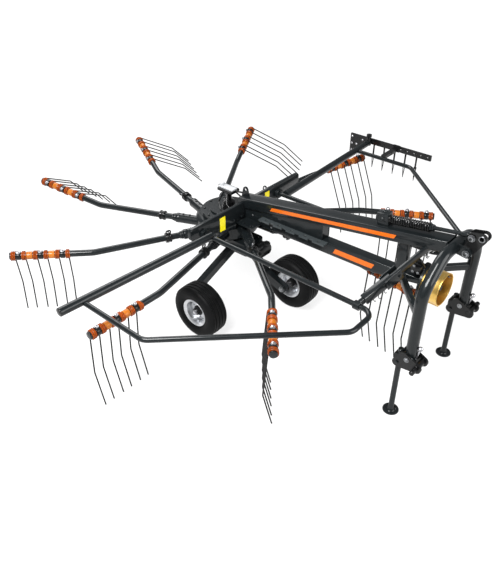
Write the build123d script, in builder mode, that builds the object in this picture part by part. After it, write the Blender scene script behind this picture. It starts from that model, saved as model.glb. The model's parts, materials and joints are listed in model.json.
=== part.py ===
from build123d import *
import os
from math import cos, hypot, radians, sin

# Rotary hay rake with one rotor, carried on a three-point headstock and two wheels.
# Millimetres. +X points forward to the tractor, +Y to the left, +Z up from the ground.
# Places are measured from the rotor's axis at ground level.
ROTOR_X = -150.8
ROTOR_Y = 9.0

# Running clearances
SHAFT_CLEARANCE = 0.05
SEAT_GAP = 0.2
TURNING_GAP = 5.0

# Tine arms
ARM_HEIGHT = 545.0
ARM_OFFSET = 86.0
ARM_RADIUS = 21.0
ARM_WALL = 4.0
ARM_CAP = 10.0
ARM_BEND_PLACE = 944.0
ARM_BEND_ANGLE = 12.4
ARM_BEND_RADIUS = 220.0
ARM_OUTER_LENGTH = 506.0
COLLAR_PLACE = 450.0
COLLAR_RADIUS = 31.0
COLLAR_LENGTH = 36.0

# Double tines
TINE_WIRE_RADIUS = 4.5
TINE_TIP_HEIGHT = 15.0
TINE_KNEE_DROP = 310.0
TINE_KNEE_OUT = 52.0
TINE_KNEE_RADIUS = 60.0
COIL_RADIUS = 31.0
COIL_LENGTH = 34.0
TINE_PITCH = 62.0
TINE_GROUP_PITCH = 133.0
TINE_END_MARGIN = 20.0
TINE_GROUPS = 3
CLAMP_RADIUS = 27.0

# Rotor hub and its axle
HUB_RADIUS = 215.0
HUB_DEPTH = 57.0
HUB_RISE = 55.0
HUB_BOTTOM = ARM_HEIGHT - HUB_DEPTH
HUB_TOP = ARM_HEIGHT + HUB_RISE
HUB_EDGE = 18.0
HUB_CHAMBER_RADIUS = 188.0
HUB_SLEEVE_WALL = 22.0
HUB_LID = 24.0
BOSS_RADIUS = 33.0
BOSS_FACE = 320.0
AXLE_RADIUS = 40.0

# Gear housing and top plate
HOUSING_RADIUS = 175.0
HOUSING_HEIGHT = 26.0
TOP_PLATE_THICKNESS = 12.0
TOP_PLATE_WIDTH = 240.0
TOP_PLATE_FRONT = 330.0

# Beams
LOWER_BEAM_WIDTH = 70.0
LOWER_BEAM_HEIGHT = 82.0
LOWER_BEAM_RISE = 25.0
LOWER_BEAM_LEVEL = HUB_TOP + LOWER_BEAM_RISE
LOWER_BEAM_LEVEL_PLACE = 500.0
LOWER_BEAM_SLOPE = 0.015
LOWER_BEAM_REAR = 90.0
LOWER_BEAM_FRONT = 1490.0
LOWER_BEAM_TAPER = 1180.0
LOWER_BEAM_END_HEIGHT = 34.0
UPPER_BEAM_WIDTH = 100.0
UPPER_BEAM_HEIGHT = 70.0
UPPER_BEAM_RISE = 160.0
UPPER_BEAM_TOP = LOWER_BEAM_LEVEL + UPPER_BEAM_RISE
UPPER_BEAM_TOP_PLACE = 180.0
UPPER_BEAM_SLOPE = 0.1615
UPPER_BEAM_REAR = 140.0
GUSSET_FRONT = 815.0
POST_REAR = 1310.0
POST_LENGTH = 60.0
POST_WIDTH = 52.0

# Flange bar with bolt holes on the lower beam
FLANGE_REAR = 350.0
FLANGE_LENGTH = 510.0
FLANGE_REACH = 46.0
FLANGE_THICKNESS = 10.0
FLANGE_HOLES = 5
FLANGE_HOLE_RADIUS = 12.0
FLANGE_NOTCH_LENGTH = 34.0
FLANGE_NOTCH_DEPTH = 16.0

# Lateral arms
LATERAL_FRONT = 200.0
LATERAL_THICKNESS = 24.0
LATERAL_HEIGHT = 122.0
LATERAL_REACH = 540.0
LATERAL_KNEE = 290.0
LATERAL_RISE = 44.0
LATERAL_ROUND = 24.0
LEDGE_INNER = 128.0
LEDGE_HEIGHT = 34.0
LEDGE_DEPTH = 30.0

# Headstock
HEADSTOCK_X = 1620.0
HEADSTOCK_RADIUS = 32.0
HEADSTOCK_HALF_WIDTH = 314.0
HEADSTOCK_RISE = 203.0
HEADSTOCK_TOP = UPPER_BEAM_TOP + HEADSTOCK_RISE
HEADSTOCK_TOP_HALF = 150.0
HEADSTOCK_SHOULDER_DROP = 138.0
HEADSTOCK_SHOULDER = HEADSTOCK_TOP - HEADSTOCK_SHOULDER_DROP
HEADSTOCK_BEND = 150.0
HEADSTOCK_FOOT = 400.0
LEG_BRACE_HEIGHT = 39.0
LEG_BRACE_WIDTH = 44.0
LEG_BRACE_REAR = 1337.0
LEG_BRACE_RISE = 55.0
LEG_BRACE_LEVEL = LOWER_BEAM_LEVEL + LEG_BRACE_RISE

# Top link rocker
PIVOT_X = 1689.0
PIVOT_DROP = 10.0
PIVOT_Z = HEADSTOCK_TOP - PIVOT_DROP
ROCKER_PIN_RADIUS = 12.5
ROCKER_EYE_RADIUS = 27.0
ROCKER_INNER = 16.0
LUG_RADIUS = 28.0
PLATE_THICKNESS = 10.0
ROD_END_X = 1697.0
TOP_LINK_X = 1747.0
TOP_LINK_RISE = 101.0
TOP_LINK_Z = PIVOT_Z + TOP_LINK_RISE
TOP_LINK_HOLE_RADIUS = 12.8

# Top link spring
SPRING_RADIUS = 26.0
SPRING_REAR = 1235.0
SPRING_LENGTH = 236.0
SPRING_RIDE = 38.0
SPRING_ROD_RADIUS = 11.0
ROD_NUT_LENGTH = 14.0
SPRING_BRACKET_LENGTH = 70.0
SPRING_BRACKET_WIDTH = 56.0
SPRING_BRACKET_HEIGHT = 78.0

# Lower hitch
HITCH_PLATE_THICKNESS = 12.0
HITCH_PIN_X = 1677.0
HITCH_PIN_Z = 406.0
HITCH_PIN_RADIUS = 14.0
HITCH_PIN_STUB = 48.0
HITCH_PIN_SEAT_RADIUS = 18.0
HITCH_TOP_X = 1596.0
HITCH_TOP_Z = 446.0
HITCH_CORNER_RADIUS = 28.0
HITCH_EYE_RADIUS = 30.0

# Parking stands
STAND_X = 1566.0
STAND_OUT = 12.0
STAND_RADIUS = 16.0
STAND_TOP = 468.0
STAND_FOOT_RADIUS = 47.0
STAND_FOOT_HEIGHT = 12.0
STAND_CLAMP_LENGTH = 52.0
STAND_CLAMP_LEVEL = 362.0
STAND_CLAMP_HEIGHT = 76.0

# Power take-off
PTO_RISE = 70.0
PTO_Z = LOWER_BEAM_LEVEL + PTO_RISE
PTO_SHAFT_RADIUS = 17.5
PTO_SHAFT_LENGTH = 82.0
PTO_GUARD_RADIUS = 95.0
PTO_GUARD_WALL = 4.0
PTO_GUARD_LENGTH = 104.0
PTO_PLATE_THICKNESS = 14.0
PTO_PLATE_MARGIN = 12.0

# Wheels
TYRE_RADIUS = 185.0
TYRE_WIDTH = 150.0
TYRE_BEAD_RADIUS = 80.0
TYRE_CROWN = 6.0
TYRE_SHOULDER = 26.0
TYRE_SIDE_RADIUS = 132.0
TYRE_TREAD_HALF = 56.0
TYRE_BEAD_LIP = 4.0
TYRE_BEAD_WIDTH = 22.0
TYRE_WALL = 16.0
TYRE_TREAD_WALL = 24.0
TYRE_GROOVES = 4
TYRE_GROOVE = 6.0
TYRE_GROOVE_WIDTH = 7.0
TYRE_GROOVE_PITCH = 26.0
RIM_FLANGE_RADIUS = 97.0
RIM_BARREL_RADIUS = 79.5
RIM_WALL = 4.0
RIM_HALF_WIDTH = 60.0
RIM_DISH = 20.0
WHEEL_HUB_RADIUS = 30.0
WHEEL_HUB_HALF = 48.0
WHEEL_SHAFT_RADIUS = 15.0
WHEEL_SHAFT_END = 8.0
WHEEL_LEG_ROOT_DEPTH = 48.0
WHEEL_LEG_ROOT = HUB_BOTTOM - WHEEL_LEG_ROOT_DEPTH
WHEEL_LEG_SIZE = 48.0
LINK_LENGTH = 140.0
LINK_RISE = 48.0
LINK_RADIUS = 30.0
LINK_WIDTH = 46.0
WHEEL_SIDE_GAP = 12.0

# Chassis block below the hub
CHASSIS_REAR = -80.0
CHASSIS_FRONT = 290.0
CHASSIS_RIGHT = -115.0
CHASSIS_LEFT = 60.0
CHASSIS_DEPTH = 88.0
CHASSIS_BOTTOM = HUB_BOTTOM - CHASSIS_DEPTH
CHASSIS_CORNER = 40.0

# Side guards
GUARD_RISE = 97.0
GUARD_Z = HUB_TOP + GUARD_RISE
GUARD_RAIL_RADIUS = 15.0
GUARD_TUBE_RADIUS = 25.0
GUARD_BEND = 70.0
GUARD_FRONT = 1430.0
GUARD_BEND_X = 690.0
GUARD_TUBE_X = 270.0
GUARD_TUBE_SWEEP = 62.0
GUARD_LUG_LENGTH = 22.0
GUARD_LUG_RADIUS = 32.0
CLAMP_PLACE = 1327.0
CLAMP_RING_LENGTH = 36.0
CLAMP_RING_RADIUS = 25.0
STRUT_TOP_X = 1490.0
STRUT_TOP_OFFSET = 20.0
STRUT_TOP_DEPTH = 12.0
STRUT_BAR_WIDTH = 22.0
STRUT_BAR_HEIGHT = 34.0
STRUT_BOX_WIDTH = 44.0
STRUT_BOX_HEIGHT = 50.0
STRUT_BOX_START = 44.0
STRUT_BOX_LENGTH = 190.0
FORK_LENGTH = 110.0
FORK_HEIGHT = 64.0
FORK_PLATE = 7.0

# Curtain carrier on the left guard
CARRIER_REAR = 35.0
CARRIER_LENGTH = 720.0
CARRIER_HEIGHT = 44.0
CARRIER_THICKNESS = 16.0
CARRIER_RISE = 1.0
CARRIER_LEVEL = GUARD_Z + CARRIER_RISE
CARRIER_HOLES = 5
CARRIER_HOLE_RADIUS = 7.0
CARRIER_HOLE_PITCH = 58.0
CARRIER_BRACKET_X = 455.0
CARRIER_BRACKET_WIDTH = 40.0
CARRIER_BRACKET_RISE = 7.0
CARRIER_BRACKET_LEVEL = GUARD_Z + CARRIER_BRACKET_RISE
CARRIER_BRACKET_THICKNESS = 22.0
HOOKS = 5
HOOK_REAR = 251.0
HOOK_PITCH = 95.0
HOOK_WIDTH = 14.0
HOOK_THICKNESS = 6.0
HOOK_RISE = 37.0
HOOK_LENGTH = 240.0
HOOK_TOP = CARRIER_LEVEL + HOOK_RISE
HOOK_BOTTOM = HOOK_TOP - HOOK_LENGTH
END_PLATE_LENGTH = 170.0
END_PLATE_HEIGHT = 122.0

# Height spindle on the rotor's top
SPINDLE_X = 15.0
SPINDLE_RADIUS = 22.0
SPINDLE_BOOT_RADIUS = 46.0
SPINDLE_BOOT_HEIGHT = 60.0
SPINDLE_HEIGHT = 125.0
CRANK_BOX_LENGTH = 130.0
CRANK_BOX_WIDTH = 84.0
CRANK_BOX_HEIGHT = 34.0
CRANK_BOX_CORNER = 10.0
LUG_PLATE_LENGTH = 62.0
LUG_PLATE_HEIGHT = 48.0
LUG_PLATE_EYE = 20.0
LUG_PLATE_THICKNESS = 12.0
LUG_HOLE_RADIUS = 11.0

# Tine arms in the order that they stand around the rotor.
# Columns: name, azimuth from +X in degrees, roll that lifts the tines in degrees.
ARMS = (
    ("1", 243.0, 16.0),
    ("2", 283.0, 0.0),
    ("3", 323.0, 0.0),
    ("4", 3.0, 0.0),
    ("5", 43.0, 0.0),
    ("6", 83.0, 20.0),
    ("7", 123.0, 60.0),
    ("8", 163.0, 57.0),
    ("9", 203.0, 57.0),
)

# Sides of the machine. Columns: name, sign of Y, hinge Y, rail Y, front bend Y, tube end Y.
SIDES = (
    ("right", -1, -430.0, -1353.0, -632.0, -1495.0),
    ("left", 1, 300.0, 1268.0, 583.0, 1455.0),
)

# Wheels. Columns: name, side that the shaft points to, wheel X and Y, leg root X and Y.
WHEELS = (
    ("right", -1, 237.0, -528.0, 150.0, -95.0),
    ("left", 1, 501.0, 122.0, 140.0, 12.0),
)

os.makedirs("parts", exist_ok=True)


def at(x, y, z):
    """Point measured from the rotor's axis at ground level."""
    return Vector(ROTOR_X + x, ROTOR_Y + y, z)


def upright(y):
    """Sketch plane across the machine at y, with X forward and Z up."""
    return Plane(origin=at(0, y, 0), x_dir=(1, 0, 0), z_dir=(0, -1, 0))


def round_bar(start, end, radius, mode=Mode.ADD):
    """Straight round bar from start to end in the open part."""
    with BuildSketch(Plane(origin=start, z_dir=end - start)) as section:
        Circle(radius)
    extrude(section.sketch, amount=(end - start).length, mode=mode)


def bent_tube(points, bend, radius, bore=0):
    """Round tube, hollow where a bore is given, along points with rounded corners in the open part."""
    with BuildLine() as route:
        FilletPolyline(*points, radius=bend)
    with BuildSketch(Plane(origin=route.line @ 0, z_dir=route.line % 0)) as section:
        Circle(radius)
        if bore:
            Circle(bore, mode=Mode.SUBTRACT)
    sweep(section.sketch, path=route.line)


def side_plate(points, y, width):
    """Plate of the given outline in X and Z, centred on y, in the open part."""
    with BuildSketch(upright(y)) as outline:
        Polygon(*points, align=None)
    extrude(outline.sketch, amount=width / 2, both=True)


def finish(piece, name):
    """Label a finished piece and write it."""
    piece.part.label = name
    export_step(piece.part, f"parts/{name}.step")


def lower_beam_bottom(x):
    """Height of the lower beam's underside at x."""
    return LOWER_BEAM_LEVEL + LOWER_BEAM_SLOPE * (x - LOWER_BEAM_LEVEL_PLACE)


def lower_beam_top(x):
    """Height of the lower beam's top at x."""
    return lower_beam_bottom(x) + LOWER_BEAM_HEIGHT


def upper_beam_top(x):
    """Height of the upper beam's top at x."""
    return UPPER_BEAM_TOP + UPPER_BEAM_SLOPE * (x - UPPER_BEAM_TOP_PLACE)


def upper_beam_bottom(x):
    """Height of the upper beam's underside at x."""
    return upper_beam_top(x) - UPPER_BEAM_HEIGHT


def on_upper_beam(x):
    """Plane on the upper beam's top at x, with local X along the beam."""
    return Plane(
        origin=at(x, 0, upper_beam_top(x)), x_dir=(1, 0, UPPER_BEAM_SLOPE), z_dir=(-UPPER_BEAM_SLOPE, 0, 1)
    )


def arm_plane(azimuth, roll):
    """Plane of a tine arm: local X along it, local Y to its bend, local Z to its tines."""
    outward = Vector(cos(radians(azimuth)), sin(radians(azimuth)), 0)
    forward = Vector(-sin(radians(azimuth)), cos(radians(azimuth)), 0)
    bend_way = forward * -cos(radians(roll)) + Vector(0, 0, sin(radians(roll)))
    return Plane(
        origin=at(0, 0, ARM_HEIGHT) + forward * ARM_OFFSET, x_dir=outward, z_dir=outward.cross(bend_way)
    )


# Stationary column: axle, gear housing and top plate
chassis_top = HUB_BOTTOM - TURNING_GAP
housing_bottom = HUB_TOP + TURNING_GAP
housing_top = housing_bottom + HOUSING_HEIGHT
plate_top = housing_top + TOP_PLATE_THICKNESS

with BuildPart() as rotor_axle:
    round_bar(at(0, 0, chassis_top), at(0, 0, housing_bottom), AXLE_RADIUS)
finish(rotor_axle, "rotor_axle")

with BuildPart() as gear_housing:
    round_bar(at(0, 0, housing_bottom), at(0, 0, housing_top), HOUSING_RADIUS)
    with BuildSketch(Plane(origin=at(0, 0, housing_top))):
        Circle(TOP_PLATE_WIDTH / 2)
        with Locations((TOP_PLATE_FRONT / 2, 0)):
            Rectangle(TOP_PLATE_FRONT, TOP_PLATE_WIDTH)
    extrude(amount=TOP_PLATE_THICKNESS)
finish(gear_housing, "gear_housing")

# Beams, gusset and post; the lower beam thins towards its front above the path of the raised tines
beam_seat_front = TOP_PLATE_FRONT + TURNING_GAP
with BuildPart() as lower_beam:
    side_plate(
        (
            (LOWER_BEAM_REAR, plate_top),
            (beam_seat_front, plate_top),
            (beam_seat_front, lower_beam_bottom(beam_seat_front)),
            (LOWER_BEAM_TAPER, lower_beam_bottom(LOWER_BEAM_TAPER)),
            (LOWER_BEAM_FRONT, lower_beam_top(LOWER_BEAM_FRONT) - LOWER_BEAM_END_HEIGHT),
            (LOWER_BEAM_FRONT, lower_beam_top(LOWER_BEAM_FRONT)),
            (LOWER_BEAM_REAR, lower_beam_top(LOWER_BEAM_REAR)),
        ),
        0,
        LOWER_BEAM_WIDTH,
    )
finish(lower_beam, "lower_beam")

upper_beam_front = HEADSTOCK_X - HEADSTOCK_RADIUS - SEAT_GAP
lug_eye_x = UPPER_BEAM_REAR + LUG_PLATE_LENGTH / 2
lug_eye_z = upper_beam_top(UPPER_BEAM_REAR) + LUG_PLATE_HEIGHT
with BuildPart() as upper_beam:
    side_plate(
        (
            (UPPER_BEAM_REAR, upper_beam_bottom(UPPER_BEAM_REAR)),
            (upper_beam_front, upper_beam_bottom(upper_beam_front)),
            (upper_beam_front, upper_beam_top(upper_beam_front)),
            (UPPER_BEAM_REAR, upper_beam_top(UPPER_BEAM_REAR)),
        ),
        0,
        UPPER_BEAM_WIDTH,
    )
    with BuildSketch(upright(0)):
        Polygon(
            (UPPER_BEAM_REAR, upper_beam_top(UPPER_BEAM_REAR)),
            (UPPER_BEAM_REAR + LUG_PLATE_LENGTH, upper_beam_top(UPPER_BEAM_REAR + LUG_PLATE_LENGTH)),
            (lug_eye_x + LUG_PLATE_EYE, lug_eye_z),
            (lug_eye_x - LUG_PLATE_EYE, lug_eye_z),
            align=None,
        )
        with Locations((lug_eye_x, lug_eye_z)):
            Circle(LUG_PLATE_EYE)
            Circle(LUG_HOLE_RADIUS, mode=Mode.SUBTRACT)
    extrude(amount=LUG_PLATE_THICKNESS / 2, both=True)
finish(upper_beam, "upper_beam")

with BuildPart() as beam_gusset:
    side_plate(
        (
            (LOWER_BEAM_REAR, lower_beam_top(LOWER_BEAM_REAR)),
            (GUSSET_FRONT, lower_beam_top(GUSSET_FRONT)),
            (GUSSET_FRONT, upper_beam_bottom(GUSSET_FRONT)),
            (UPPER_BEAM_REAR, upper_beam_bottom(UPPER_BEAM_REAR)),
        ),
        0,
        LOWER_BEAM_WIDTH,
    )
finish(beam_gusset, "beam_gusset")

post_front = POST_REAR + POST_LENGTH
with BuildPart() as beam_post:
    side_plate(
        (
            (POST_REAR, lower_beam_top(POST_REAR)),
            (post_front, lower_beam_top(post_front)),
            (post_front, upper_beam_bottom(post_front)),
            (POST_REAR, upper_beam_bottom(POST_REAR)),
        ),
        0,
        POST_WIDTH,
    )
finish(beam_post, "beam_post")

# Flange bar with holes and notches along the right side of the lower beam
flange_plane = Plane(
    origin=at(FLANGE_REAR, -LOWER_BEAM_WIDTH / 2, lower_beam_top(FLANGE_REAR)),
    x_dir=(1, 0, LOWER_BEAM_SLOPE),
    z_dir=(LOWER_BEAM_SLOPE, 0, -1),
)
flange_pitch = FLANGE_LENGTH / FLANGE_HOLES
with BuildPart() as flange_bar:
    with BuildSketch(flange_plane):
        with Locations((FLANGE_LENGTH / 2, FLANGE_REACH / 2)):
            Rectangle(FLANGE_LENGTH, FLANGE_REACH)
        for hole in range(FLANGE_HOLES):
            with Locations(((hole + 0.5) * flange_pitch, FLANGE_REACH / 2)):
                Circle(FLANGE_HOLE_RADIUS, mode=Mode.SUBTRACT)
        for notch in range(1, FLANGE_HOLES):
            with Locations((notch * flange_pitch, FLANGE_REACH - FLANGE_NOTCH_DEPTH / 2)):
                Rectangle(FLANGE_NOTCH_LENGTH, FLANGE_NOTCH_DEPTH, mode=Mode.SUBTRACT)
    extrude(amount=FLANGE_THICKNESS)
finish(flange_bar, "flange_bar")

# Lateral arms that carry the side guards: a tapered plate with a ledge below and the hinge lug in front
lateral_top = plate_top + LATERAL_HEIGHT
notch_top = upper_beam_bottom(LATERAL_FRONT - LATERAL_THICKNESS)
for name, sign, hinge_y, rail_y, bend_y, tube_end_y in SIDES:
    across = Plane(origin=at(LATERAL_FRONT, 0, 0), x_dir=(0, sign, 0), z_dir=(sign, 0, 0))
    with BuildPart() as lateral_arm:
        with BuildSketch(across):
            with BuildLine():
                Polyline(
                    (LOWER_BEAM_WIDTH / 2, plate_top),
                    (LATERAL_KNEE, plate_top),
                    (LATERAL_REACH, plate_top + LATERAL_RISE),
                    (LATERAL_REACH, lateral_top),
                    (UPPER_BEAM_WIDTH / 2, lateral_top),
                    (UPPER_BEAM_WIDTH / 2, notch_top),
                    (LOWER_BEAM_WIDTH / 2, notch_top),
                    close=True,
                )
            make_face()
        extrude(amount=-sign * LATERAL_THICKNESS)
        outer_edges = lateral_arm.edges().filter_by(Axis.X).group_by(Axis.Y)[0 if sign < 0 else -1]
        fillet(outer_edges, LATERAL_ROUND)
        with BuildSketch(across):
            with Locations(((LEDGE_INNER + LATERAL_KNEE) / 2, plate_top - LEDGE_HEIGHT / 2)):
                Rectangle(LATERAL_KNEE - LEDGE_INNER, LEDGE_HEIGHT)
        extrude(amount=-sign * LEDGE_DEPTH)
        lug_start = at(LATERAL_FRONT, hinge_y, GUARD_Z)
        lug_end = at(LATERAL_FRONT + GUARD_LUG_LENGTH, hinge_y, GUARD_Z)
        round_bar(lug_start, lug_end, GUARD_LUG_RADIUS)
        round_bar(lug_start, lug_end, GUARD_RAIL_RADIUS + SHAFT_CLEARANCE, mode=Mode.SUBTRACT)
    finish(lateral_arm, f"lateral_arm_{name}")

# Headstock: bent tube arch and its braces to the lower beam
with BuildPart() as headstock_arch:
    bent_tube(
        [
            at(HEADSTOCK_X, -HEADSTOCK_HALF_WIDTH, HEADSTOCK_FOOT),
            at(HEADSTOCK_X, -HEADSTOCK_HALF_WIDTH, HEADSTOCK_SHOULDER),
            at(HEADSTOCK_X, -HEADSTOCK_TOP_HALF, HEADSTOCK_TOP),
            at(HEADSTOCK_X, HEADSTOCK_TOP_HALF, HEADSTOCK_TOP),
            at(HEADSTOCK_X, HEADSTOCK_HALF_WIDTH, HEADSTOCK_SHOULDER),
            at(HEADSTOCK_X, HEADSTOCK_HALF_WIDTH, HEADSTOCK_FOOT),
        ],
        HEADSTOCK_BEND,
        HEADSTOCK_RADIUS,
    )
finish(headstock_arch, "headstock_arch")

for name, sign, hinge_y, rail_y, bend_y, tube_end_y in SIDES:
    with BuildPart() as leg_brace:
        with BuildSketch(Plane(origin=at(0, 0, LEG_BRACE_LEVEL))):
            Polygon(
                (LEG_BRACE_REAR, sign * LOWER_BEAM_WIDTH / 2),
                (LEG_BRACE_REAR + LEG_BRACE_WIDTH, sign * LOWER_BEAM_WIDTH / 2),
                (HEADSTOCK_X + LEG_BRACE_WIDTH / 2, sign * HEADSTOCK_HALF_WIDTH),
                (HEADSTOCK_X - LEG_BRACE_WIDTH / 2, sign * HEADSTOCK_HALF_WIDTH),
                align=None,
            )
        extrude(amount=LEG_BRACE_HEIGHT)
        add(headstock_arch.part, mode=Mode.SUBTRACT)
    finish(leg_brace, f"leg_brace_{name}")

# Top link rocker: a pair of plates with their pins, between the lugs on the arch
rocker_y = ROCKER_INNER + PLATE_THICKNESS / 2
lug_y = rocker_y + PLATE_THICKNESS
rod_end_z = upper_beam_top(ROD_END_X) + SPRING_RIDE * hypot(1, UPPER_BEAM_SLOPE)
with BuildPart() as rocker_lugs:
    for y in (-lug_y, lug_y):
        with BuildSketch(upright(y)):
            with Locations((PIVOT_X, PIVOT_Z)):
                Circle(LUG_RADIUS)
            with Locations((HEADSTOCK_X, HEADSTOCK_TOP)):
                Circle(LUG_RADIUS)
            make_hull()
            with Locations((PIVOT_X, PIVOT_Z)):
                Circle(ROCKER_PIN_RADIUS + SHAFT_CLEARANCE, mode=Mode.SUBTRACT)
        extrude(amount=PLATE_THICKNESS / 2, both=True)
    add(headstock_arch.part, mode=Mode.SUBTRACT)
finish(rocker_lugs, "rocker_lugs")

with BuildPart() as top_link_rocker:
    for y in (-rocker_y, rocker_y):
        with BuildSketch(upright(y)):
            with Locations((PIVOT_X, PIVOT_Z), (ROD_END_X, rod_end_z), (TOP_LINK_X, TOP_LINK_Z)):
                Circle(ROCKER_EYE_RADIUS)
            make_hull()
            with Locations((TOP_LINK_X, TOP_LINK_Z)):
                Circle(TOP_LINK_HOLE_RADIUS, mode=Mode.SUBTRACT)
        extrude(amount=PLATE_THICKNESS / 2, both=True)
    for x, z, seat_y in ((PIVOT_X, PIVOT_Z, lug_y), (ROD_END_X, rod_end_z, rocker_y)):
        pin_end = seat_y + PLATE_THICKNESS
        round_bar(at(x, -pin_end, z), at(x, pin_end, z), ROCKER_PIN_RADIUS)
finish(top_link_rocker, "top_link_rocker")

# Spring and rod that hold the rocker, on top of the upper beam
spring_seat = on_upper_beam(SPRING_REAR)
rod_start = spring_seat.from_local_coords(Vector(-SPRING_BRACKET_LENGTH - ROD_NUT_LENGTH, 0, SPRING_RIDE))
rod_end = at(ROD_END_X, 0, rod_end_z) - spring_seat.x_dir * (ROCKER_PIN_RADIUS + SEAT_GAP)
with BuildPart(spring_seat) as spring_bracket:
    with Locations((-SPRING_BRACKET_LENGTH / 2, 0, SPRING_BRACKET_HEIGHT / 2)):
        Box(SPRING_BRACKET_LENGTH, SPRING_BRACKET_WIDTH, SPRING_BRACKET_HEIGHT)
    round_bar(rod_start, rod_end, SPRING_ROD_RADIUS + SHAFT_CLEARANCE, mode=Mode.SUBTRACT)
finish(spring_bracket, "spring_bracket")

with BuildPart() as spring_rod:
    round_bar(rod_start, rod_end, SPRING_ROD_RADIUS)
finish(spring_rod, "spring_rod")

with BuildPart() as top_spring:
    spring_start = spring_seat.from_local_coords(Vector(0, 0, SPRING_RIDE))
    spring_end = spring_seat.from_local_coords(Vector(SPRING_LENGTH, 0, SPRING_RIDE))
    round_bar(spring_start, spring_end, SPRING_RADIUS)
    round_bar(spring_start, spring_end, SPRING_ROD_RADIUS + SEAT_GAP, mode=Mode.SUBTRACT)
finish(top_spring, "top_spring")

# Lower hitch: a bracket of two plates on each leg, its pin and the clamp of the parking stand
for name, sign, hinge_y, rail_y, bend_y, tube_end_y in SIDES:
    leg_y = sign * HEADSTOCK_HALF_WIDTH
    plate_offset = HEADSTOCK_RADIUS + HITCH_PLATE_THICKNESS / 2
    stand_y = leg_y + sign * STAND_OUT
    clamp_corner_z = STAND_CLAMP_LEVEL + HITCH_CORNER_RADIUS
    clamp_bottom = at(STAND_X, stand_y, STAND_CLAMP_LEVEL)
    clamp_top = at(STAND_X, stand_y, STAND_CLAMP_LEVEL + STAND_CLAMP_HEIGHT)
    with BuildPart() as hitch_bracket:
        for y in (leg_y - plate_offset, leg_y + plate_offset):
            with BuildSketch(upright(y)):
                with Locations((HITCH_PIN_X, HITCH_PIN_Z)):
                    Circle(HITCH_EYE_RADIUS)
                with Locations((HITCH_TOP_X, HITCH_TOP_Z), (STAND_X, clamp_corner_z)):
                    Circle(HITCH_CORNER_RADIUS)
                make_hull()
                with Locations((HITCH_PIN_X, HITCH_PIN_Z)):
                    Circle(HITCH_PIN_SEAT_RADIUS + SHAFT_CLEARANCE, mode=Mode.SUBTRACT)
            extrude(amount=HITCH_PLATE_THICKNESS / 2, both=True)
        with BuildSketch(Plane(origin=at(STAND_X, leg_y, STAND_CLAMP_LEVEL))):
            Rectangle(STAND_CLAMP_LENGTH, 2 * HEADSTOCK_RADIUS)
        extrude(amount=STAND_CLAMP_HEIGHT)
        round_bar(clamp_bottom, clamp_top, STAND_RADIUS + SHAFT_CLEARANCE, mode=Mode.SUBTRACT)
        add(headstock_arch.part, mode=Mode.SUBTRACT)
    finish(hitch_bracket, f"hitch_bracket_{name}")

    inner_y = leg_y - sign * (HEADSTOCK_RADIUS + HITCH_PLATE_THICKNESS)
    outer_y = leg_y + sign * (HEADSTOCK_RADIUS + HITCH_PLATE_THICKNESS)
    with BuildPart() as hitch_pin:
        shoulder = at(HITCH_PIN_X, outer_y, HITCH_PIN_Z)
        round_bar(at(HITCH_PIN_X, inner_y, HITCH_PIN_Z), shoulder, HITCH_PIN_SEAT_RADIUS)
        round_bar(shoulder, shoulder + Vector(0, sign * HITCH_PIN_STUB, 0), HITCH_PIN_RADIUS)
    finish(hitch_pin, f"hitch_pin_{name}")

    with BuildPart() as parking_stand:
        round_bar(at(STAND_X, stand_y, 0), at(STAND_X, stand_y, STAND_TOP), STAND_RADIUS)
        round_bar(at(STAND_X, stand_y, 0), at(STAND_X, stand_y, STAND_FOOT_HEIGHT), STAND_FOOT_RADIUS)
    finish(parking_stand, f"parking_stand_{name}")

# Power take-off: mounting plate on the lower beam, guard and splined stub
pto_plate_front = LOWER_BEAM_FRONT + PTO_PLATE_THICKNESS
with BuildPart() as pto_plate:
    with BuildSketch(Plane(origin=at(LOWER_BEAM_FRONT, 0, PTO_Z), x_dir=(0, 1, 0), z_dir=(1, 0, 0))):
        Circle(PTO_GUARD_RADIUS + PTO_PLATE_MARGIN)
    extrude(amount=PTO_PLATE_THICKNESS)
finish(pto_plate, "pto_plate")

with BuildPart() as pto_guard:
    guard_start = at(pto_plate_front, 0, PTO_Z)
    guard_end = at(pto_plate_front + PTO_GUARD_LENGTH, 0, PTO_Z)
    round_bar(guard_start, guard_end, PTO_GUARD_RADIUS)
    round_bar(guard_start, guard_end, PTO_GUARD_RADIUS - PTO_GUARD_WALL, mode=Mode.SUBTRACT)
finish(pto_guard, "pto_guard")

with BuildPart() as pto_shaft:
    round_bar(
        at(pto_plate_front, 0, PTO_Z), at(pto_plate_front + PTO_SHAFT_LENGTH, 0, PTO_Z), PTO_SHAFT_RADIUS
    )
finish(pto_shaft, "pto_shaft")

# Height spindle with its crank box above the gear housing
with BuildPart() as height_spindle:
    box_bottom = plate_top + SPINDLE_HEIGHT
    spindle_foot = at(SPINDLE_X, 0, plate_top)
    round_bar(spindle_foot, at(SPINDLE_X, 0, plate_top + SPINDLE_BOOT_HEIGHT), SPINDLE_BOOT_RADIUS)
    round_bar(spindle_foot, at(SPINDLE_X, 0, box_bottom), SPINDLE_RADIUS)
    with BuildSketch(Plane(origin=at(SPINDLE_X, 0, box_bottom))):
        RectangleRounded(CRANK_BOX_LENGTH, CRANK_BOX_WIDTH, CRANK_BOX_CORNER)
    extrude(amount=CRANK_BOX_HEIGHT)
finish(height_spindle, "height_spindle")

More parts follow.
